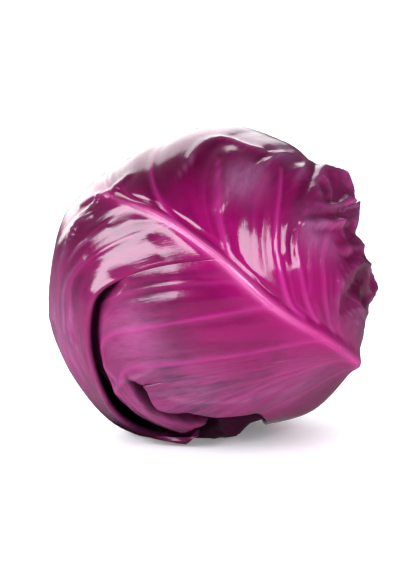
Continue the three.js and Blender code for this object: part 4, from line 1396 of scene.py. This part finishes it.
# %% Growing the heart and the stem
centre = (HEAD_CENTRE * MM).tolist()
on_stem = {"Axis": toward(*STEM_AXIS).tolist(), "Centre": centre}
heart = grow(
    "heart_skin",
    BALL,
    {
        "Radius": (HEAD_RADIUS - HEART_SINK) * MM,
        "Leaves": HEART_LEAVES,
        "Step": HEART_STEP * MM,
        "Axis": (-toward(*STEM_AXIS)).tolist(),
        "Centre": centre,
        "Finish": INNER_LEAVES,
    },
)
stem = grow(
    "stem_skin",
    STALK,
    {
        "Radius": STEM_RADIUS * MM,
        "From": STEM_FROM * MM,
        "To": STEM_TO * MM,
        "Flutes": 5,
        "Flute Depth": 0.035,
        "Finish": CUT_FLESH,
        **on_stem,
    },
)
ring = grow(
    "stem_bundles",
    BUNDLES,
    {
        "Count": 24,
        "Ring Radius": 9.2 * MM,
        "Bundle Size": 1.1 * MM,
        "Height": (STEM_TO - 0.75) * MM,
        "Seed": 4,
        "Finish": BUNDLE_ENDS,
        **on_stem,
    },
)

# %% [markdown]
# ## The table
# The head lies on a plain white table that reaches far past the view. Its clear wax would mirror a
# bright table as a grey veil over the purple, so mirror-like rays don't see the table: they see the
# dim lower half of the world in its place. A little glow of its own keeps the table's white even.

# %% Table
TABLE_SIZE = 60.0
bpy.ops.mesh.primitive_plane_add(size=TABLE_SIZE, location=(0, 0, 0))
table = bpy.context.object
table.name = "table"
table.visible_glossy = False
material, add = new_material("white table")
inputs = {"Base Color": linear("#F4F2F6"), "Roughness": 0.6}
inputs |= {"Emission Color": (1, 1, 1, 1), "Emission Strength": 0.2}
add("ShaderNodeOutputMaterial", {"Surface": add("ShaderNodeBsdfPrincipled", inputs)})
table.data.materials.append(material)
print(table.name, "of", TABLE_SIZE, "m, finish:", material.name)

# %% [markdown]
# ## The room
# A waxy skin looks like what stands round it. A bright panel high behind the head draws the white
# rim along its top, a faint glow surrounds the panel, and everything else is near black, so that the
# purple stays deep. An image of a room would do it too, but three soft ramps are easier to tune.

# %% Room
PANEL_SIDE = (-0.25, 0.86, 0.44)
scene = bpy.context.scene
scene.view_settings.view_transform = "Standard"
scene.view_settings.look = "Medium High Contrast"
world = bpy.data.worlds.new("white room")
world.use_nodes = True
add = partial(node, world.node_tree)
outward = add("ShaderNodeTexCoord").outputs["Generated"]
up = add("ShaderNodeSeparateXYZ", {"Vector": outward}).outputs["Z"]
bright_side = add("ShaderNodeVectorMath", {0: outward, 1: PANEL_SIDE}, operation="DOT_PRODUCT")
# The panel, the glow round it, and the dim table below: what drives each, from where to where, and
# how dim and how bright it is.
strength = 0.0
for drive, low, high, dim, bright in (
    (bright_side, 0.86, 0.91, 0.0, 2.2),
    (bright_side, 0.2, 0.83, 0.02, 0.06),
    (up, 0.0, -0.25, 0.0, 0.16),
):
    inputs = {"Value": drive, "From Min": low, "From Max": high, "To Min": dim, "To Max": bright}
    part = add("ShaderNodeMapRange", inputs, interpolation_type="SMOOTHSTEP")
    strength = add("ShaderNodeMath", {0: part, 1: strength}, operation="ADD")
background = world.node_tree.nodes["Background"]
background.inputs["Color"].default_value = (1, 1, 1, 1)
world.node_tree.links.new(strength.outputs[0], background.inputs["Strength"])
scene.world = world
print("world:", world.name)

# %% [markdown]
# ## The lamps
# Two soft windows, one to each side of the viewer, draw the long highlights that show the ribs and
# the swelling blade. A weak sky fills the shadows without a reflection of its own. The last lamp
# washes the table alone, through light linking, so that it stays white but keeps a soft shadow.

# %% Lamps
LOOK_AT = Vector(HEAD_CENTRE * MM)


def lamp(name, kind, out, distance, energy, **settings):
    """A light that looks at the head from the direction out."""
    light = bpy.data.lights.new(name, kind)
    light.energy = energy
    for key, value in settings.items():
        setattr(light, key, value)
    out = Vector(out).normalized()
    made = bpy.data.objects.new(name, light)
    made.location = LOOK_AT + out * distance
    made.rotation_euler = out.to_track_quat("Z", "Y").to_euler()
    scene.collection.objects.link(made)
    print("lamp:", name)
    return made


WINDOW = {"shape": "RECTANGLE", "size_y": 0.5, "color": (0.94, 0.95, 1.0)}
lamp("left window", "AREA", (-0.74, -0.5, 0.47), 1.1, 12.0, size=1.4, **WINDOW)
lamp("right window", "AREA", (0.64, -0.62, 0.46), 1.1, 5.4, size=0.7, **WINDOW)
sky = lamp("sky", "SUN", (-0.2, 0.1, 0.95), 2.0, 0.4, angle=np.radians(60))
sky.visible_glossy = False
wash = lamp("table wash", "SUN", (-0.1, 0.1, 0.98), 2.0, 1.8, angle=np.radians(120))
lit_by_wash = bpy.data.collections.new("lit by the table wash")
lit_by_wash.objects.link(table)
wash.light_linking.receiver_collection = lit_by_wash

# %% [markdown]
# ## The camera
# It stands in front, 1.2 m away and a little above, as someone at the table would. From that far a
# long lens keeps the head's round shape true. Its shift moves the picture so that the head's middle
# falls on a chosen pixel, without turning the camera.

# %% Camera
PICTURE_SIZE = (420, 565)
SENSOR_WIDTH = 36.0
CAMERA_DISTANCE = 1.2
CAMERA_ELEVATION = 10.0
FOCAL_PIXELS = 2264.0
HEAD_PIXEL = (208.5, 281.5)
camera = bpy.data.cameras.new("camera")
camera.sensor_width = SENSOR_WIDTH
camera.lens = FOCAL_PIXELS / PICTURE_SIZE[1] * SENSOR_WIDTH
camera.shift_x = (PICTURE_SIZE[0] / 2 - HEAD_PIXEL[0]) / PICTURE_SIZE[1]
camera.shift_y = -(PICTURE_SIZE[1] / 2 - HEAD_PIXEL[1]) / PICTURE_SIZE[1]
viewer = bpy.data.objects.new("camera", camera)
elevation = np.radians(CAMERA_ELEVATION)
out = Vector((0, -np.cos(elevation), np.sin(elevation)))
viewer.location = LOOK_AT + out * CAMERA_DISTANCE
viewer.rotation_euler = out.to_track_quat("Z", "Y").to_euler()
scene.collection.objects.link(viewer)
scene.camera = viewer
print("a lens of", round(camera.lens), "mm from", CAMERA_DISTANCE, "m")

# %% [markdown]
# ## Handing the pieces over
# Nothing moves on a cabbage, so every piece rides the one body. Each leaf, the heart and the stalk
# take the place of their solid, and the ring of bundles comes on top of the stalk.

# %% Handing the pieces over
REPLACES = {**skins, "heart": heart, "stem_stump": stem}
for name, skin in REPLACES.items():
    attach(skin, "root")
    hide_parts(name)
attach(ring, "root")
